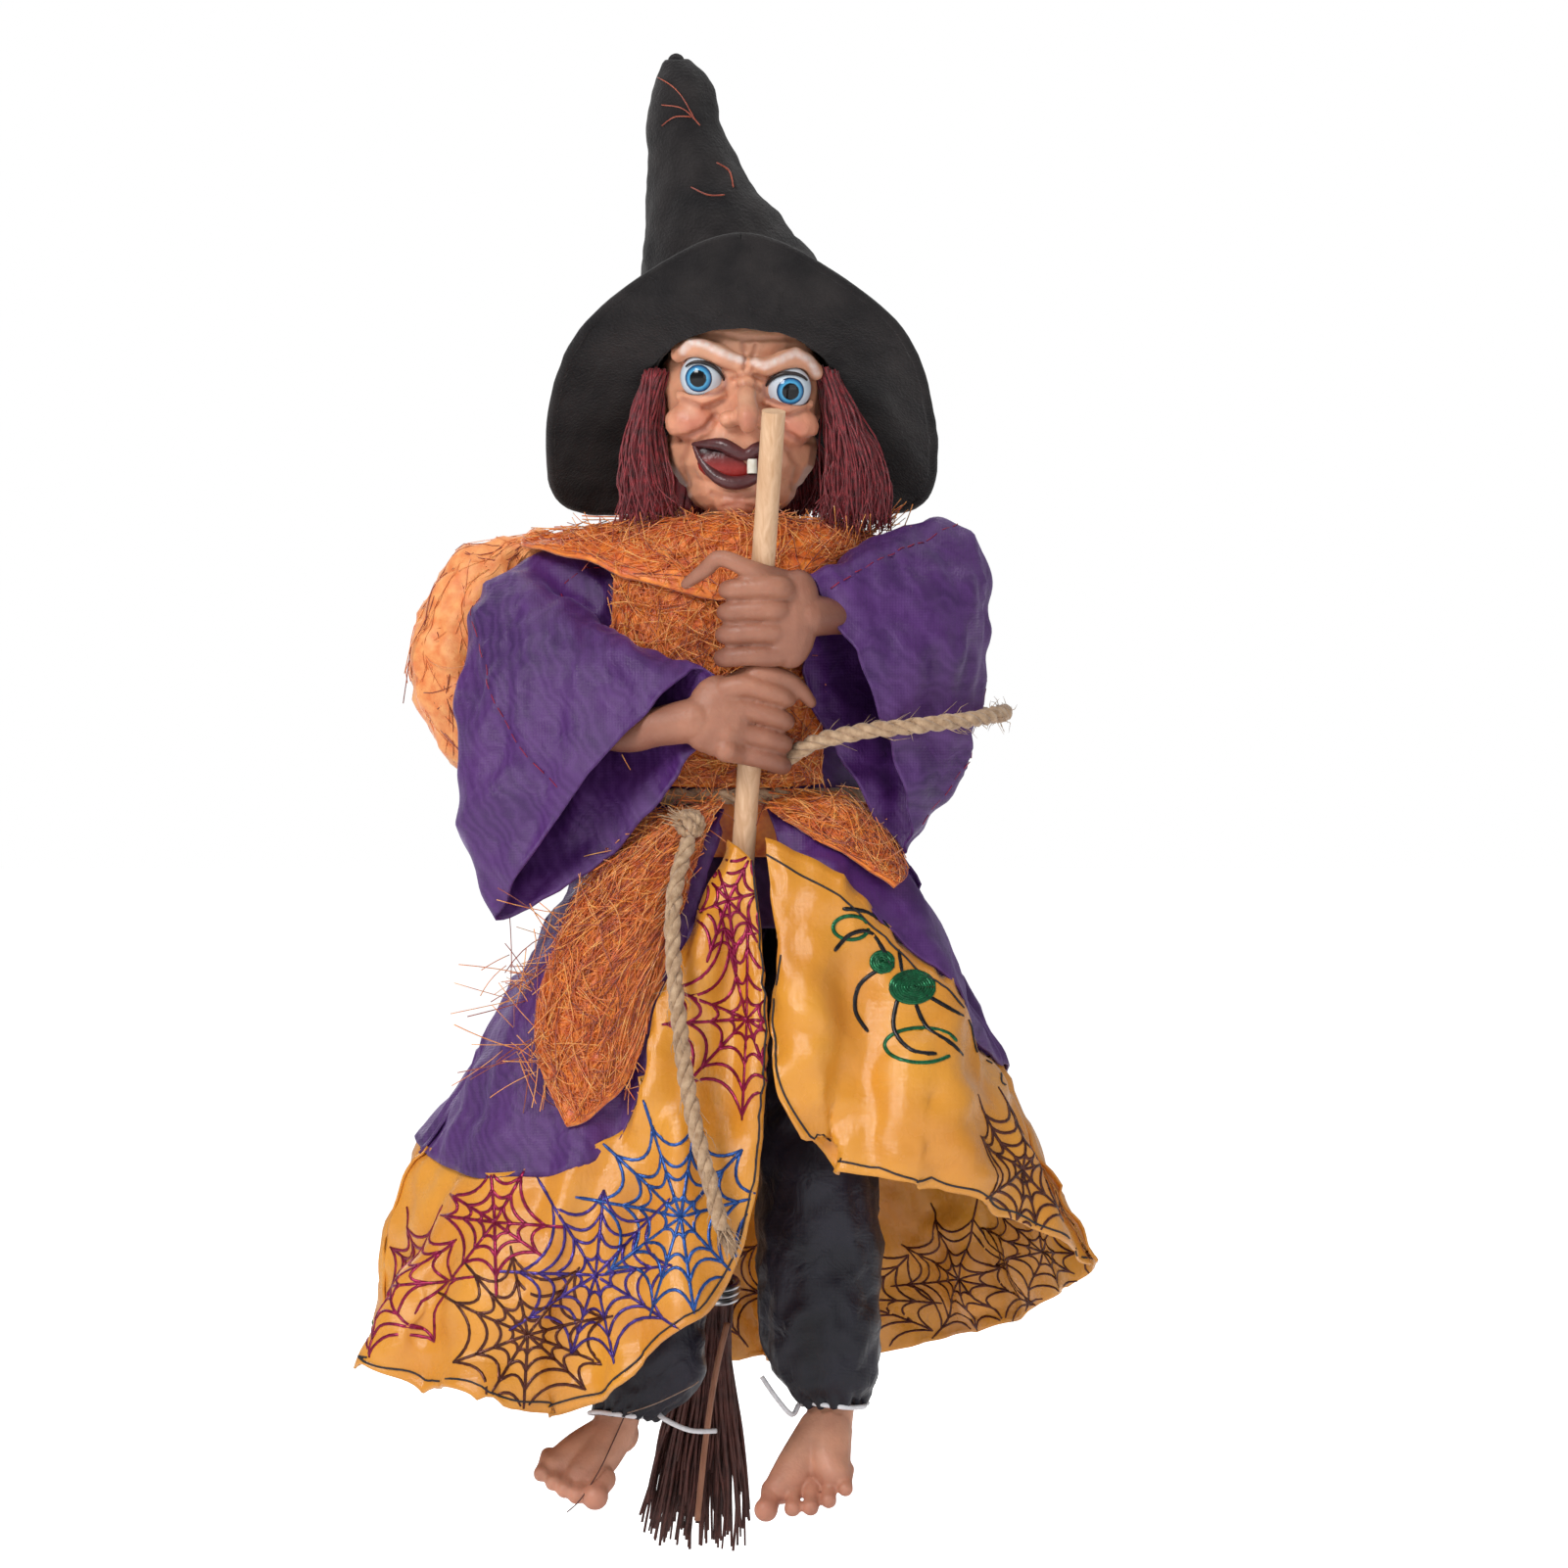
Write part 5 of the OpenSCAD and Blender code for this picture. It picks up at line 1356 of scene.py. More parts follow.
def head_shape(points, face):
    """Cuts the wrinkles, raises the brows and opens the lids round the eyeballs."""
    front = np.clip((TORSO_Y - 4 * MM - points[:, 1]) / (4 * MM), 0, 1)
    for line, width, depth in WRINKLES:
        dent = depth * MM * np.exp(-(far_from(points, line) / width) ** 2) * front
        points = points - face * dent[:, None]
    for line in BROWS:
        ridge = 0.7 * MM * np.exp(-(far_from(points, line) / 1.3) ** 2) * front
        points = points + face * ridge[:, None]
    points = points + face * (0.12 * MM * ripple(points, 201, 0.006, 2))[:, None]
    for side, (centre, _) in EYES.items():
        middle = at(centre)
        away = points - middle
        dist = np.linalg.norm(away, axis=1)
        hole = (lid_ring(points, side) < 1) & (points[:, 1] < middle[1] + 1 * MM)
        cover = ~hole & (dist < LID_RADIUS) & (dist > 1e-6)
        points[cover] = middle + away[cover] / dist[cover, None] * LID_RADIUS
        deep = hole & (dist > BALL_RADIUS)
        points[deep] = middle + away[deep] / dist[deep, None] * BALL_RADIUS
    return points


def blend_in(base, tint, share):
    return base * (1 - share) + np.array(tint) * share


def head_paint(points):
    front = np.clip((TORSO_Y - 5 * MM - points[:, 1]) / (5 * MM), 0, 1)[:, None]
    x, z = points[:, 0] / MM, points[:, 2] / MM
    blob = lambda cx, cz, r: np.exp(-(((x - cx) ** 2 + (z - cz) ** 2) / r ** 2))[:, None] * front
    colour = SKIN * (1 + 0.10 * ripple(points, 211, 0.012, 2))[:, None]
    colour = blend_in(colour, (0.66, 0.19, 0.12),
                      0.75 * np.maximum(blob(-11.6, 30, 4.6), blob(12.8, 28.8, 4.6)))
    colour = blend_in(colour, (0.60, 0.19, 0.12),
                      0.6 * np.maximum(blob(1.6, 29.5, 3.0), blob(-0.8, 10.2, 4.2)))
    # Painted highlights: a lighter streak down the nose ridge and a broad lighter patch on the forehead.
    colour = blend_in(colour, (0.78, 0.44, 0.28), 0.6 * np.maximum(blob(1.2, 35, 1.6), blob(-1, 51, 8)))
    # Painted highlights: small lighter spots on the tops of both cheeks.
    colour = blend_in(colour, (0.80, 0.46, 0.30),
                      0.5 * np.maximum(blob(-12, 32.4, 2.2), blob(13.2, 31.4, 2.2)))
    # Painted shade: each wrinkle line is darkened brown along its crease.
    for line, width, depth in WRINKLES:
        share = min(depth, 0.8) * np.exp(-(far_from(points, line) / (width * 1.1)) ** 2)[:, None] * front
        colour = blend_in(colour, (0.30, 0.085, 0.050), share * 0.75)
    # Painted shade: a dark ring just outside each eye opening, where the lids meet the eyeballs.
    for side in LIDS:
        ring = lid_ring(points, side)
        colour = blend_in(colour, (0.24, 0.075, 0.06),
                          (0.75 * np.exp(-((ring - 1.08) / 0.16) ** 2))[:, None] * front)
    for line in BROWS:
        reach = far_from(points, line)
        share = np.clip((1.35 - reach) / 0.9, 0, 1)[:, None] * front
        streak = 0.75 + 0.25 * ripple(points, 221, 0.002, 2)[:, None]
        colour = blend_in(colour, (0.84, 0.70, 0.64), share * streak)
    return np.clip(colour, 0, 1)


def make_head():
    skin = vinyl("face_vinyl")
    balls = [((0, 0, 38), (20.2, 19.4, 19.5)), ((0, -2.5, 24), (18.4, 16.6, 14)),
             ((-0.5, -12.4, 11.6), (6.6, 6, 4.8)),
             ((0, -5, 15), (13.6, 12.6, 8.4)), ((0, 0, 4), (9.8, 9.8, 12)),
             ((0, -5.6, 48.5), (17.4, 13, 9)),
             ((-1.2, -11.6, 20.5), (11, 8.2, 7.6)), ((-11.2, -13.6, 29.8), (7.2, 5.2, 5.2)),
             ((11.8, -13.4, 28.8), (6.8, 5.2, 5.2)),
             ((-3.0, -20.0, 30.2), (2.5, 2.8, 2.1)), ((6.0, -19.8, 29.6), (2.5, 2.8, 2.1)),
             ((1.5, -21.4, 31), (3.6, 4.2, 3.0))]
    balls += chain([(-15, -13.4, 46), (-11, -17, 47.2), (-6, -19, 45.6), (-0.6, -19.8, 43.4)],
                   [2.0, 2.6, 2.6, 1.9])
    balls += chain([(2.8, -19.8, 43.2), (7, -19.2, 43), (12.6, -17, 44.6), (17.4, -13, 42)],
                   [1.9, 2.4, 2.6, 2.0])
    balls += chain([(1, -17.4, 43), (1.2, -20.2, 38.5), (1.5, -23.8, 34), (1.7, -26.6, 30.6),
                    (1.7, -26.2, 28.6)],
                   [2.5, 2.3, 2.4, 2.6, 2.0])
    balls += chain([(-14.4, -14.6, 36), (-9.6, -18.2, 34.8), (-4.6, -18.8, 36.4)], [1.4, 1.8, 1.3])
    balls += chain([(6.4, -18.6, 34.2), (11.2, -18, 32.6), (16, -14.4, 34.2)], [1.3, 1.8, 1.4])
    fused("head_skin", balls, 0.45, skin, "head", ("head",), 3, head_shape, head_paint)
    for side, (centre, _) in EYES.items():
        make_lash(side, centre)


def make_lash(side, centre):
    """The dark line along an upper lid, laid on a ball round the eye."""
    (x0, z0), a, b, turn = LIDS[side]
    points, ball = 14, 5.95
    line = []
    for k in np.linspace(0.12, 0.94, points) * math.pi:
        u, w = a * 1.02 * math.cos(k), b * 1.04 * math.sin(k)
        x, z = x0 + u * math.cos(turn) - w * math.sin(turn), z0 + u * math.sin(turn) + w * math.cos(turn)
        depth = math.sqrt(max(ball ** 2 - (x - centre[0]) ** 2 - (z - centre[2]) ** 2, 1))
        line.append((x, centre[1] - depth, z))
    width = 0.22 + 0.28 * np.sin(np.linspace(0.1, math.pi, points))
    tubes("lash_" + side, [at(line)], [width * MM], DARK, "head", (), 6)


def plum(points):
    return np.array([0.105, 0.030, 0.032]) * (1 + 0.25 * ripple(points, 231, 0.004, 2))[:, None]


def red(points):
    """Red that darkens towards the top of the mouth, as painted shade under the upper lip."""
    dark = np.clip((points[:, 2] / MM - 18.5) / 4, 0, 1)[:, None]
    return blend_in(np.array([0.36, 0.020, 0.016]), (0.03, 0.004, 0.006), dark)


def make_mouth():
    lip = vinyl("lip_paint", 0.3)
    inside = vinyl("mouth_red", 0.35)
    upper = chain([(-11.4, -16.2, 24.4), (-8, -18.4, 24.4), (-4.6, -19.9, 24.2), (-2, -20.5, 22.9),
                   (0.9, -20.7, 21.6),
                   (3.6, -20.3, 23.1), (6.6, -19, 24.3), (9.2, -17, 24.8)],
                  [0.6, 1.2, 1.65, 1.7, 1.4, 1.6, 1.2, 0.6])
    lower = chain([(-11.2, -16.2, 24), (-9.2, -17.6, 20.2), (-6, -19, 16.6), (-2, -19.8, 15),
                   (2.6, -19.6, 16), (6.2, -18.4, 19.4),
                   (9, -17, 24.4)], [0.6, 1.1, 1.5, 1.7, 1.5, 1.1, 0.6])
    fused("lip_upper", upper, 0.35, lip, "head", (), 3, None, plum)
    fused("lip_lower", lower, 0.35, lip, "head", (), 3, None, plum)
    balls = [((-2.2, -17.3, 19.8), (8.4, 2.5, 4.6)), ((-7.6, -16.2, 22.4), (3.4, 2.0, 2.0))]
    fused("mouth_inside", balls, 0.4, inside, "head", (), 2, None, red)


DARK = plain("painted_dark", (0.010, 0.006, 0.006), (0.030, 0.016, 0.014), 0.35)
make_head()
make_mouth()

# ---------- hands and feet ----------

STICK_TOP = np.array([7.8, -56, 30.6])
STICK_FOOT = np.array([-11.5, 25.5, -243])


def on_stick(z):
    """The point of the broomstick's centre line at a height, in mm."""
    t = (STICK_TOP[2] - z) / (STICK_TOP[2] - STICK_FOOT[2])
    return STICK_TOP + t * (STICK_FOOT - STICK_TOP)


def clear_stick(points, _):
    """Keeps a hand's skin just off the broomstick."""
    clearance = 3.0 * MM
    top, foot = at(STICK_TOP), at(STICK_FOOT)
    way = (foot - top) / np.linalg.norm(foot - top)
    along = (points - top) @ way
    away = points - top - along[:, None] * way
    dist = np.linalg.norm(away, axis=1)
    close = (dist < clearance) & (dist > 1e-7)
    points = points.copy()
    points[close] += away[close] / dist[close, None] * (clearance - dist[close])[:, None]
    return points


def hand_paint_with_shade(points):
    shade = ripple(points, 241, 0.010, 2)[:, None]
    # Painted shade: the skin darkens from the front of the hand towards its back, over 12 mm.
    depth = np.clip((points[:, 1:2] - points[:, 1].min()) / 0.012, 0, 1)
    light, dark = np.array([0.47, 0.205, 0.125]), np.array([0.20, 0.070, 0.045])
    return light * (1 - depth) + dark * depth + 0.03 * shade * light


def nail_paint(points):
    return np.tile([0.72, 0.46, 0.36], (len(points), 1))


NAILS = [("right", (-12.4, -46.4, -9.6), (1.3, 0.5, 1.0)), ("left", (16.2, -37.4, -36.6), (1.2, 0.5, 1.3))]


def make_hands():
    skin = vinyl("hand_vinyl", 0.45)
    right = [((11.6, -43.6, -18), (6.6, 4.8, 11.6)), ((13.5, -43, -13), (5, 4.6, 7))]
    right += chain([(15.5, -42.5, -17), (22, -37, -17), (30, -31, -17.5), (37, -25, -17.5)],
                   [5.2, 4.4, 3.8, 3.2])
    for z, knuckle in ((-10.4, -11), (-15.6, -15.6), (-20.9, -20.6), (-26.4, -25.4)):
        stick = on_stick(z)
        right += chain([(11, -44, knuckle), (stick[0] + 3.6, stick[1] - 5.6, z),
                        (stick[0] - 1.5, stick[1] - 5.9, z),
                        (stick[0] - 6.6, stick[1] - 4.6, z - 0.4), (stick[0] - 8.2, stick[1] - 1, z - 0.6),
                        (stick[0] - 6.6, stick[1] + 2.4, z - 0.6)], [2.9, 2.75, 2.45, 2.4, 2.1, 1.8])
    right += chain([(10, -43, -9), (2.5, -49.4, -6.4), (-4.6, -49, -3.6), (-8.2, -47.6, -6.2),
                    (-12.8, -45.8, -9.6)],
                   [3.0, 2.3, 2.0, 1.9, 1.35])
    fused("hand_right_skin", right, 0.5, skin, "torso", ("hand_right",), 2, clear_stick,
          hand_paint_with_shade)
    left = [((-5.2, -40.2, -40.6), (7.8, 4.6, 9.8)), ((-8, -40, -42), (6, 4.8, 7.4))]
    left += chain([(-10.5, -40, -41.5), (-20, -36.8, -43.2), (-28, -33.6, -45), (-43, -26, -42)],
                  [5.4, 4.7, 4.2, 3.6])
    for knuckle, middle, tip in ((-34.4, -33.4, -36.2), (-39.4, -38.8, -41.6), (-44.4, -44.6, -46.9),
                                 (-48.6, -49.3, -52)):
        stick = on_stick(middle)
        left += chain([(-3.4, -41.8, knuckle), (stick[0] - 2, stick[1] - 6, middle),
                       (stick[0] + 3.2, stick[1] - 5.8, (middle + tip) / 2),
                       (stick[0] + 7.2, stick[1] - 3.4, tip), (stick[0] + 7.6, stick[1] + 0.4, tip - 0.4),
                       (stick[0] + 5.4, stick[1] + 3.2, tip - 0.6)], [3.0, 2.75, 2.45, 2.3, 2.0, 1.7])
    left += chain([(-2, -37, -33), (4, -42.4, -30.4), (10.4, -40.6, -31.8), (14, -38.6, -34.4),
                   (16.6, -37, -37.4)], [2.6, 2.2, 2.2, 2.0, 1.4])
    fused("hand_left_skin", left, 0.5, skin, "torso", ("hand_left",), 2, clear_stick,
          hand_paint_with_shade)
    pale = vinyl("nail", 0.25)
    for side, centre, size in NAILS:
        fused("thumb_nail_" + side, [(centre, size)], 0.22, pale, "torso", (), 1, None,
              nail_paint)


def foot_paint(points):
    low = np.clip((at([0, 0, -214])[2] - points[:, 2]) / 0.014, 0, 1)[:, None]
    shade = ripple(points, 251, 0.012, 2)[:, None]
    return np.array([0.68, 0.34, 0.22]) * (1 - 0.3 * low * np.array([0.6, 1.0, 1.0])) * (1 + 0.10 * shade)


def make_feet():
    skin = vinyl("foot_vinyl", 0.45)
    left = chain([(-28, -11.5, -199), (-29, -12, -206), (-31, -13.4, -212)], [5.0, 5.2, 5.6])
    left += chain([(-31, -14, -212), (-35, -18, -217.4), (-38, -21.6, -221)], [5.4, 5.6, 4.4])
    left += chain([(-32, -14, -212), (-38.5, -17, -215.6), (-44.6, -21, -218.8)], [5, 4.8, 3.4])
    left += [((-29.6, -9.6, -212), (5.2, 5, 5))]
    toes = [((-47.4, -24, -220.4), 2.0), ((-44.6, -25.6, -222.4), 2.0), ((-41.9, -26.8, -224), 2.05),
            ((-39.0, -27.5, -225.2), 2.2),
            ((-34.6, -28, -225.6), 3.2)]
    for (x, y, z), r in toes:
        left += chain([(x + 1.6, y + 6, z + 3.8), (x + 0.6, y + 2.4, z + 1.6), (x, y, z)],
                      [r * 1.05, r * 0.86, r])
    fused("foot_left_skin", left, 0.5, skin, "leg_left", ("foot_left",), 2, None, foot_paint)
    right = chain([(22, -10, -197), (21.8, -10, -204), (20.4, -11.4, -211)], [5.2, 5.4, 6.0])
    right += chain([(19, -12.4, -211), (13.5, -17.4, -219), (9.4, -21, -224)], [5.6, 5.2, 4.0])
    right += chain([(20.4, -12.4, -211), (20.6, -17.4, -217), (22, -21, -220.6)], [6.2, 5.6, 4.2])
    right += [((21, -8.6, -211), (5.6, 5.2, 5.4))]
    toes = [((5.9, -26.4, -228.8), 2.9), ((12.2, -27, -228.4), 2.05), ((16.5, -26.8, -228.2), 2.05),
            ((20.8, -26, -226.6), 1.95),
            ((24.8, -24.8, -224), 1.85)]
    for (x, y, z), r in toes:
        lean = 1.8 if x < 10 else 0.3
        right += chain([(x + lean, y + 6, z + 4.2), (x + lean * 0.5, y + 2.4, z + 1.8), (x, y, z)],
                       [r * 1.05, r * 0.86, r])
    fused("foot_right_skin", right, 0.5, skin, "leg_right", ("foot_right",), 2, None,
          foot_paint)


make_hands()
make_feet()

# ---------- hair ----------

HAIR = hair_fibre()


def lock(name, rows, count, seed, droop):
    """Hair strands hanging through rows of (x, y, z, half width, half depth), over a darker core."""
    rng = np.random.default_rng(seed)
    rows = np.array(rows, float)
    paths, radii = [], []
    for _ in range(count):
        a, r = rng.uniform(0, TURN), math.sqrt(rng.uniform(0.15, 1.0))
        line = np.stack([rows[:, 0] + r * rows[:, 3] * math.cos(a),
                         rows[:, 1] + r * rows[:, 4] * math.sin(a),
                         rows[:, 2]], axis=1)
        line = line + rng.normal(0, 0.75, line.shape) * [1, 1, 0.6]
        line[-1] += rng.normal(0, 1.4, 3) - [0, 0, rng.uniform(-droop, droop)]
        path = smooth(at(line), 4)
        paths.append(path)
        radii.append(np.linspace(0.34, 0.14, len(path)) * MM)
    inside = level_net([(x, y, z, rx * 0.8, ry * 0.8) for x, y, z, rx, ry in rows], 12)
    core = at(refine(inside, 4, 2, True))
    core[0] = core[0].mean(axis=0) * 0.9 + core[0] * 0.1
    core[-1] = core[-1].mean(axis=0) * 0.9 + core[-1] * 0.1
    verts, cols = core.reshape(-1, 3), core.shape[1]
    faces = [f[::-1] for f in strip_faces(len(core), cols, 0, True)]
    faces += [tuple(range(cols)), tuple(len(verts) - cols + k for k in range(cols))[::-1]]
    piece(name + "_core", verts, faces, HAIR, "head")
    tubes(name + "_strands", paths, radii, HAIR, "head", (name,), 4)


def make_hair():
    left = [(-20.4, -7, 42, 1.8, 5), (-22.6, -7.5, 33, 2.8, 6), (-23.2, -8.5, 24, 4.6, 7.5),
            (-22.6, -10, 15, 6.0, 7),
            (-21.8, -11, 7, 6.2, 5.6)]
    right = [(20.4, -7, 42, 1.8, 5), (23.4, -7.5, 33, 3.2, 6), (26.0, -8.5, 24, 5.8, 7.5),
             (27.4, -10, 15, 8.0, 7),
             (27.6, -11, 6.5, 8.2, 5.6)]
    lock("hair_left", left, 330, 301, 2)
    lock("hair_right", right, 380, 302, 2)
    back = [(0, 14, 32, 14, 3), (0, 17.4, 24, 20, 4.6), (0, 19, 15, 21.5, 5), (0, 18.6, 7.5, 20.5, 4.6)]
    lock("hair_back", back, 460, 303, 1.2)


make_hair()

# ---------- broom, ties and loose threads ----------

TWIG = twig()
ELASTIC = plain("white_elastic", (0.70, 0.70, 0.74), (0.86, 0.86, 0.90), 0.7)


def make_bristles():
    rng = np.random.default_rng(401)
    depth = [172, 182, 193, 204, 214, 226, 236, 242.6]
    spread_out = [3.6, 4.6, 6.0, 8.4, 10.8, 13.2, 15, 15.6]
    paths, radii = [], []
    for _ in range(230):
        a, r = rng.uniform(0, TURN), math.sqrt(rng.uniform(0.0, 1.0))
        stop = rng.uniform(-242.6, -229) if rng.uniform() < 0.75 else rng.uniform(-229, -212)
        line = []
        for z in np.linspace(-171.5, stop, 7):
            off_stick = 3.1 if z > -187 else 0
            reach = max(r * (np.interp(-z, depth, spread_out) - 0.7), off_stick)
            line.append(on_stick(z) + np.array([math.cos(a), math.sin(a), 0]) * reach
                        + rng.normal(0, 0.35, 3) * [1, 1, 0])
        path = smooth(at(line), 3)
        paths.append(path)
        radii.append(np.linspace(0.62, 0.34, len(path)) * rng.uniform(0.75, 1.2) * MM)
    tubes("bristle_twigs", paths, radii, TWIG, "broom", ("bristles",), 5)
    light = smooth(at([[-3.4, -0.6, -186], [-6.2, 0.2, -198], [-8.6, 3.4, -214], [-10.7, 4.8, -234]]), 6)
    pale = wood("pale_twig", (0.26, 0.10, 0.05), (0.42, 0.19, 0.11))
    tubes("bristle_pale", [light], [np.full(len(light), 0.75 * MM)], pale, "broom", (), 6)


def make_ties():
    ang = np.linspace(0, TURN, 60)
    for side, (x, y, z), tail in (
            ("left", (-28.2, -12, -206.8),
             [[-20, -15, -206], [-18.4, -18, -207.8], [-12.2, -17, -210.6], [-6, -14, -211]]),
            ("right", (22, -10, -204.8), [[13.6, -13, -205], [12, -15, -207], [8.4, -16, -203],
                                          [4.9, -15, -198]])):
        radius = 7.9 + np.sin(ang * 9) * 0.35
        ring = at(np.stack([x + radius * np.cos(ang), y + radius * np.sin(ang), z + 0.5 * np.sin(2 * ang)],
                           axis=1))
        end = smooth(at(tail), 10)
        tubes("ankle_elastic_" + side, [ring, end], [np.full(60, 0.6 * MM), np.full(len(end), 0.62 * MM)],
              ELASTIC,
              "leg_" + side, ("ankle_tie_" + side,), 8)
    thread = plain("loose_thread", (0.20, 0.13, 0.10), (0.34, 0.25, 0.20), 0.8)
    hair = plain("foot_thread", (0.06, 0.022, 0.018), (0.12, 0.045, 0.035), 0.6)
    for name, line, material in (
            ("thread_cuff", [[-27, -24.6, -206], [-20, -28, -203.4], [-12, -30.6, -199.4],
                             [-10, -31, -198]], thread),
            ("thread_foot", [[-27.3, -17.4, -206], [-30, -20.6, -212], [-33.6, -26.4, -219.4],
                             [-38, -30.2, -226],
                             [-41.2, -30.6, -229]], hair)):
        path = smooth(at(line), 8)
        tubes(name, [path], [np.full(len(path), 0.16 * MM)], material, "leg_left", (), 5)


make_bristles()
make_ties()

# ---------- print on the satin ----------

PRINTS = {name: foil(name, low, high) for name, low, high in (
    ("magenta", (0.16, 0.004, 0.030), (0.36, 0.010, 0.075)),
    ("brown", (0.055, 0.014, 0.010), (0.13, 0.035, 0.022)),
    ("blue", (0.010, 0.040, 0.20), (0.030, 0.12, 0.42)),
    ("indigo", (0.030, 0.016, 0.13), (0.09, 0.045, 0.30)),
    ("green", (0.003, 0.060, 0.022), (0.010, 0.16, 0.060)),
    ("black", (0.006, 0.006, 0.008), (0.022, 0.020, 0.024)))}


def printed(name, tree, strokes, cast, width, colour, lift=0.22):
    """Print or stitching that belongs to the satin."""
    stamp(name, tree, strokes, cast, width, colour, "torso", lift)


def web_round(angle, z, reach, size, spokes, seed):
    """A web drawn round the torso's axis, as (degrees, height in mm), for cloth reach mm from the axis."""
    degrees = 57.3
    return [np.stack([angle + (s[:, 0] / reach) * degrees, s[:, 1]],
                     axis=1) for s in web(0, z, size, spokes, 4, seed)]


def make_prints():
    left, right, back = (tree_of(CLOTH["hem_%s_obj" % side]) for side in ("left", "right", "back"))
    inner = tree_of(*(CLOTH["hem_%s_obj" % side] for side in ("back", "left", "right")))
    for name, colour, width, webs in (
            ("a", "magenta", 0.85, [(1.5, -112, 21, 10, 4, 1, 1.2), (-3, -84, 13, 8, 3, 2, 1.3)]),
            ("b", "brown", 0.8, [(-50, -186, 21, 10, 4, 3, 1.0)]),
            ("c", "magenta", 0.9, [(-58, -160, 15, 8, 3, 4, 1.0)]),
            ("d", "blue", 0.85, [(-14, -158, 23, 10, 4, 5, 1.1)]),
            ("e", "indigo", 0.8, [(-34, -172, 22, 9, 4, 6, 1.1)])):
        strokes = [s for w in webs for s in web(*w)]
        printed("print_left_" + name, left, strokes, from_front, width, PRINTS[colour])
    for colour, angle, z, seed in (("magenta", 62, -172, 11), ("brown", 92, -178, 12),
                                   ("blue", 122, -172, 13),
                                   ("indigo", 30, -166, 14), ("green", 150, -176, 15)):
        printed("print_back_" + colour, back, web_round(angle, z, 50, 21, 10, seed), from_around, 0.85,
                PRINTS[colour])
    for side, tree, colour, angle, z in (("right", right, "brown", -24, -148),
                                         ("left", left, "magenta", 196, -176)):
        printed("print_side_" + side, tree, web_round(angle, z, 66, 19, 9, 21), from_around, 0.8,
                PRINTS[colour])
    for k, (angle, z) in enumerate(((38, -178), (66, -184), (100, -180), (130, -182), (14, -170))):
        strokes = web_round(angle, z, 52, 19, 9, 30 + k)
        printed("print_inside_%d" % k, inner, strokes, from_inside, 0.6, PRINTS["brown"], 0.15)
    make_spider(right)
    make_stitches(left, right, back)


def ellipse(x, z, rx, rz, angles):
    return np.array([(x + math.cos(a) * rx, z + math.sin(a) * rz) for a in angles])


def make_spider(tree):
    """A green spider with dark curled legs on the right flap."""
    blob = [ellipse(40.5, -104.5, r * 5.2, r * 3.7,
                    np.linspace(0, TURN, 26)) for r in np.linspace(0.08, 1.0, 8)]
    head = [ellipse(33.4, -98.6, r * 2.6, r * 2.4,
                    np.linspace(0, TURN, 20)) for r in np.linspace(0.1, 1.0, 5)]
    printed("spider_body", tree, blob + head, from_front, 1.0, PRINTS["green"], 0.3)
    legs = [[(36, -100), (31, -92), (26, -92), (22, -96)], [(38, -101), (36, -92), (30, -87), (24, -86)],
            [(41, -108), (44, -114), (50, -118), (55, -124)],
            [(43, -106), (50, -110), (56, -114), (60, -120)],
            [(33, -100), (28, -104), (27, -110), (30, -115)],
            [(37, -107), (36, -114), (40, -119), (46, -120)]]
    printed("spider_legs", tree, [smooth(leg, 5) for leg in legs], from_front, 1.1, PRINTS["black"], 0.26)
    curls = [ellipse(42.5, -118, 8.6, 4.0, np.linspace(0.2, 5.6, 12)),
             ellipse(26, -90.5, 4.2, 2.8, np.linspace(0.4, 6.2, 12))]
    printed("spider_curls", tree, [smooth(curl, 5) for curl in curls], from_front, 1.0, PRINTS["green"],
            0.24)


def grid_line(grid, row):
    """One row of a cloth grid as (x, z) in mm, for sewing along an edge."""
    line = grid[row] / MM
    return line[:, [0, 2]]


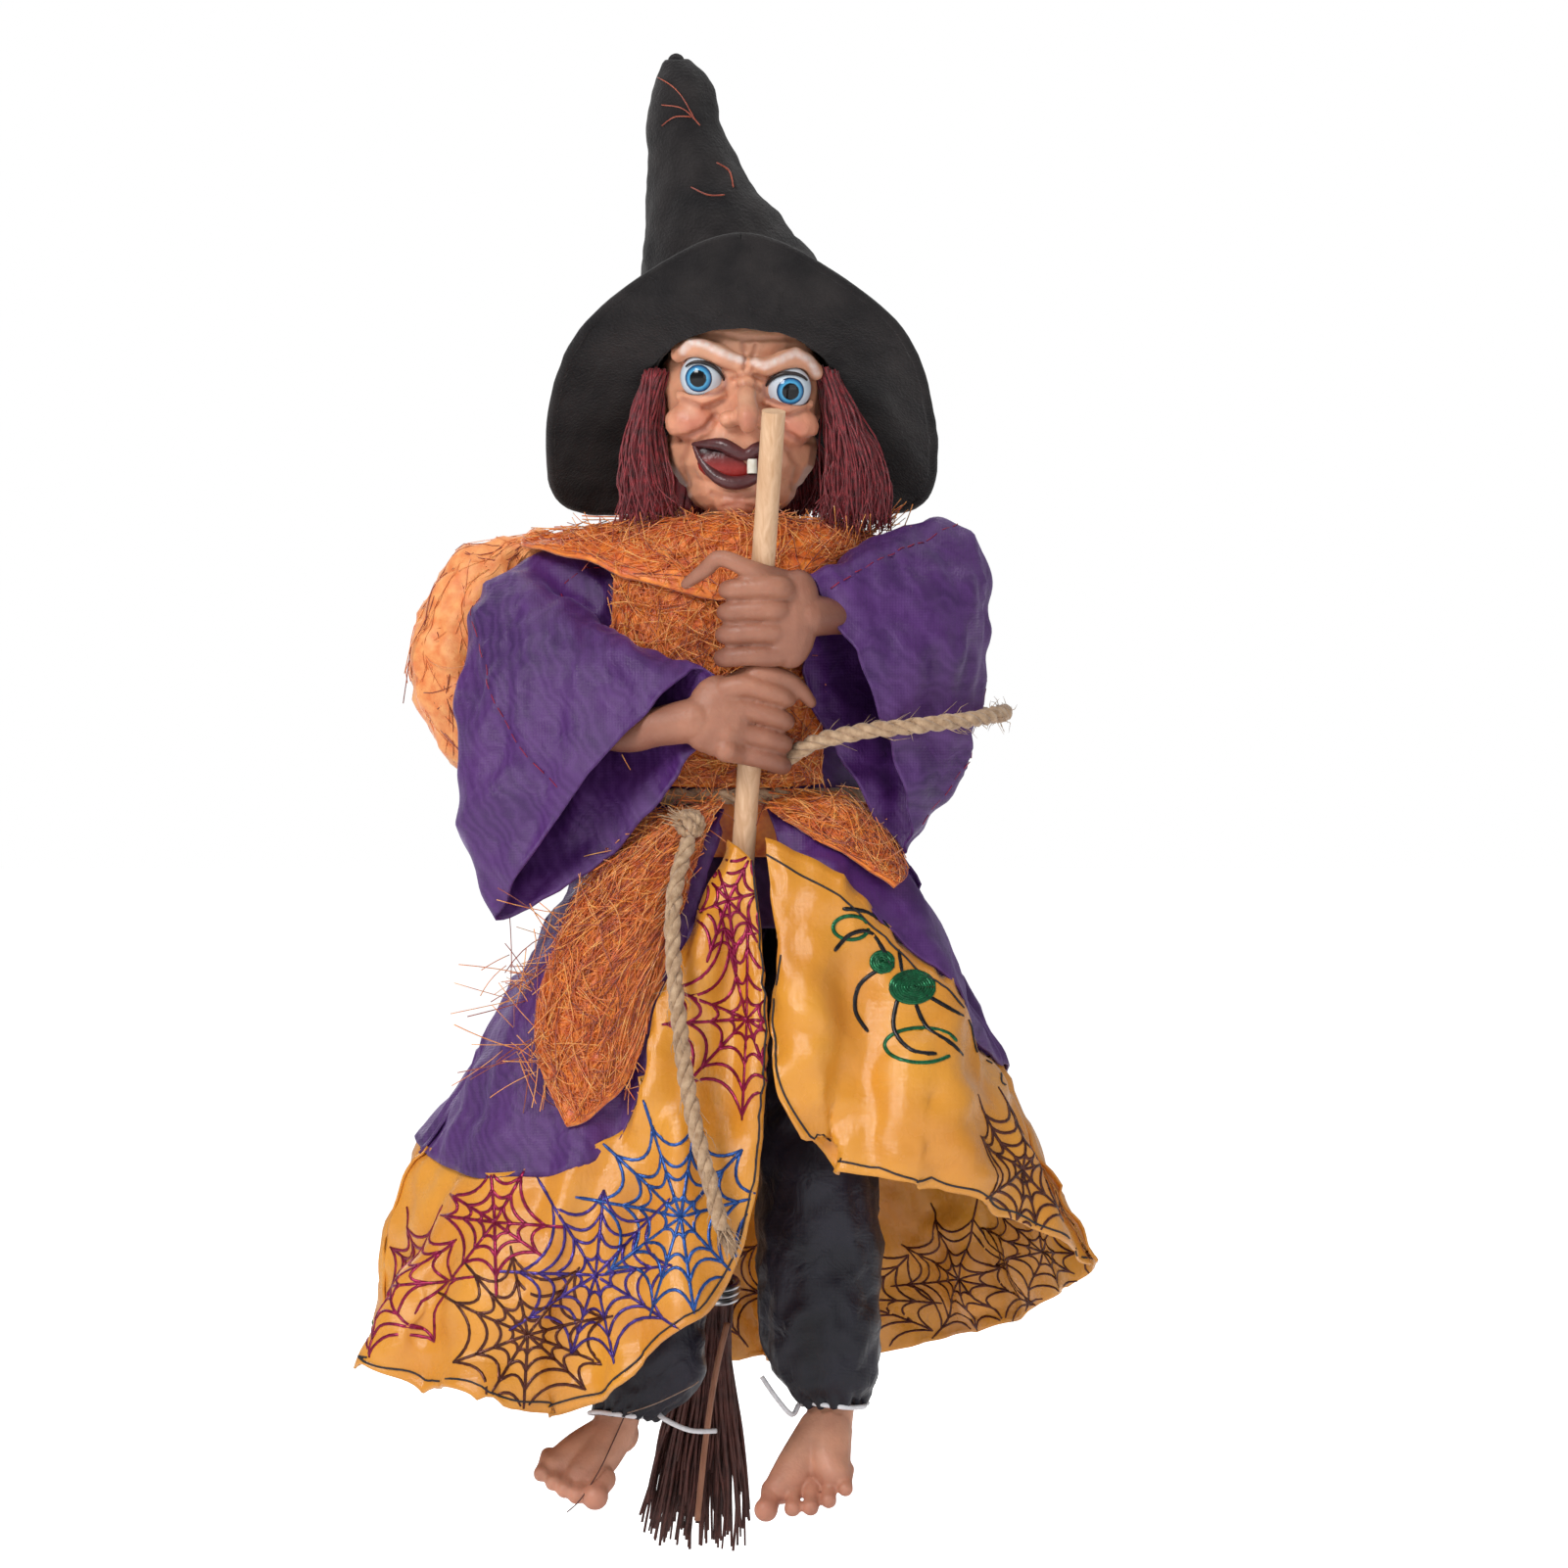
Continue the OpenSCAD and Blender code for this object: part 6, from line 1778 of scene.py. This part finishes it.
def make_stitches(left, right, back):
    """The dark machine stitch a little inside the hem's free edges."""
    dark = plain("dark_stitch", (0.010, 0.008, 0.012), (0.035, 0.028, 0.035), 0.7)
    for side, tree, rows, cast in (("left", left, [-3], from_front), ("right", right, [-3, 3], from_front),
                                   ("back", back, [-3], from_back)):
        lines = [grid_line(CLOTH["hem_" + side], row) for row in rows]
        printed("stitch_" + side, tree, lines, cast, 0.5, dark, 0.3)
    red = plain("red_stitch", (0.20, 0.006, 0.03), (0.42, 0.014, 0.06), 0.5)
    rng = np.random.default_rng(7)
    for side in ("left", "right"):
        grid = CLOTH["sleeve_" + side]
        rows = len(grid)
        runs = []
        for col in (8, 38, 66):
            line = grid[4:rows - 3, col % grid.shape[1]]
            away = line - grid[4:rows - 3].mean(axis=1)
            away /= np.linalg.norm(away, axis=1, keepdims=True)
            line = line + away * 0.55 * MM
            for k in range(0, len(line) - 3, 3):
                runs.append(line[k:k + 3] + rng.normal(0, 0.12, 3) * MM)
        tubes("sleeve_stitch_" + side, runs, [np.full(3, 0.13 * MM)] * len(runs), red, "torso",
              (), 4)


make_prints()

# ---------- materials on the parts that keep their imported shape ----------


def dress_nodes():
    """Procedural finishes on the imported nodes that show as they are."""
    stick = wood("broomstick_wood", (0.60, 0.34, 0.18), (0.80, 0.53, 0.33))
    casing = plain("casing_plastic", (0.50, 0.50, 0.50), (0.62, 0.62, 0.61), 0.5)
    black = plain("dark_plastic", (0.010, 0.010, 0.012), (0.026, 0.026, 0.028), 0.45)
    steel = plain("steel", (0.50, 0.50, 0.52), (0.66, 0.66, 0.68), 0.3, 1.0)
    brass = plain("brass", (0.62, 0.42, 0.14), (0.78, 0.56, 0.22), 0.32, 1.0)
    cell = plain("cell_can", (0.42, 0.42, 0.44), (0.60, 0.60, 0.62), 0.25, 1.0)
    board = plain("board_green", (0.010, 0.085, 0.030), (0.020, 0.14, 0.055), 0.4)
    tooth = plain("tooth_enamel", (0.72, 0.66, 0.54), (0.86, 0.82, 0.72), 0.2)
    left, right = (eye_material("eye_" + side, *EYES[side], ((0.010, 0.075, 0.22), (0.09, 0.42, 0.72)))
                   for side in ("left", "right"))
    for material, nodes in (
            (stick, ["broomstick"]), (cell, ["battery_cells"]), (board, ["circuit_board"]),
            (tooth, ["tooth"]),
            (casing, ["unit_front_shell", "unit_back_shell", "battery_cover", "neck_post", "leg_rod_left",
                      "leg_rod_right"]),
            (steel, ["bristle_binding", "microphone", "motor", "unit_screws", "hip_pin", "arm_wire_left",
                     "arm_wire_right"]),
            (black, ["speaker", "switch_body", "switch_knob"]),
            (brass, ["battery_contacts", "eccentric_weight"]),
            (left, ["eyeball_left"]), (right, ["eyeball_right"])):
        for node in nodes:
            mesh = frame["nodes"][node].data
            mesh.materials.clear()
            mesh.materials.append(material)


dress_nodes()
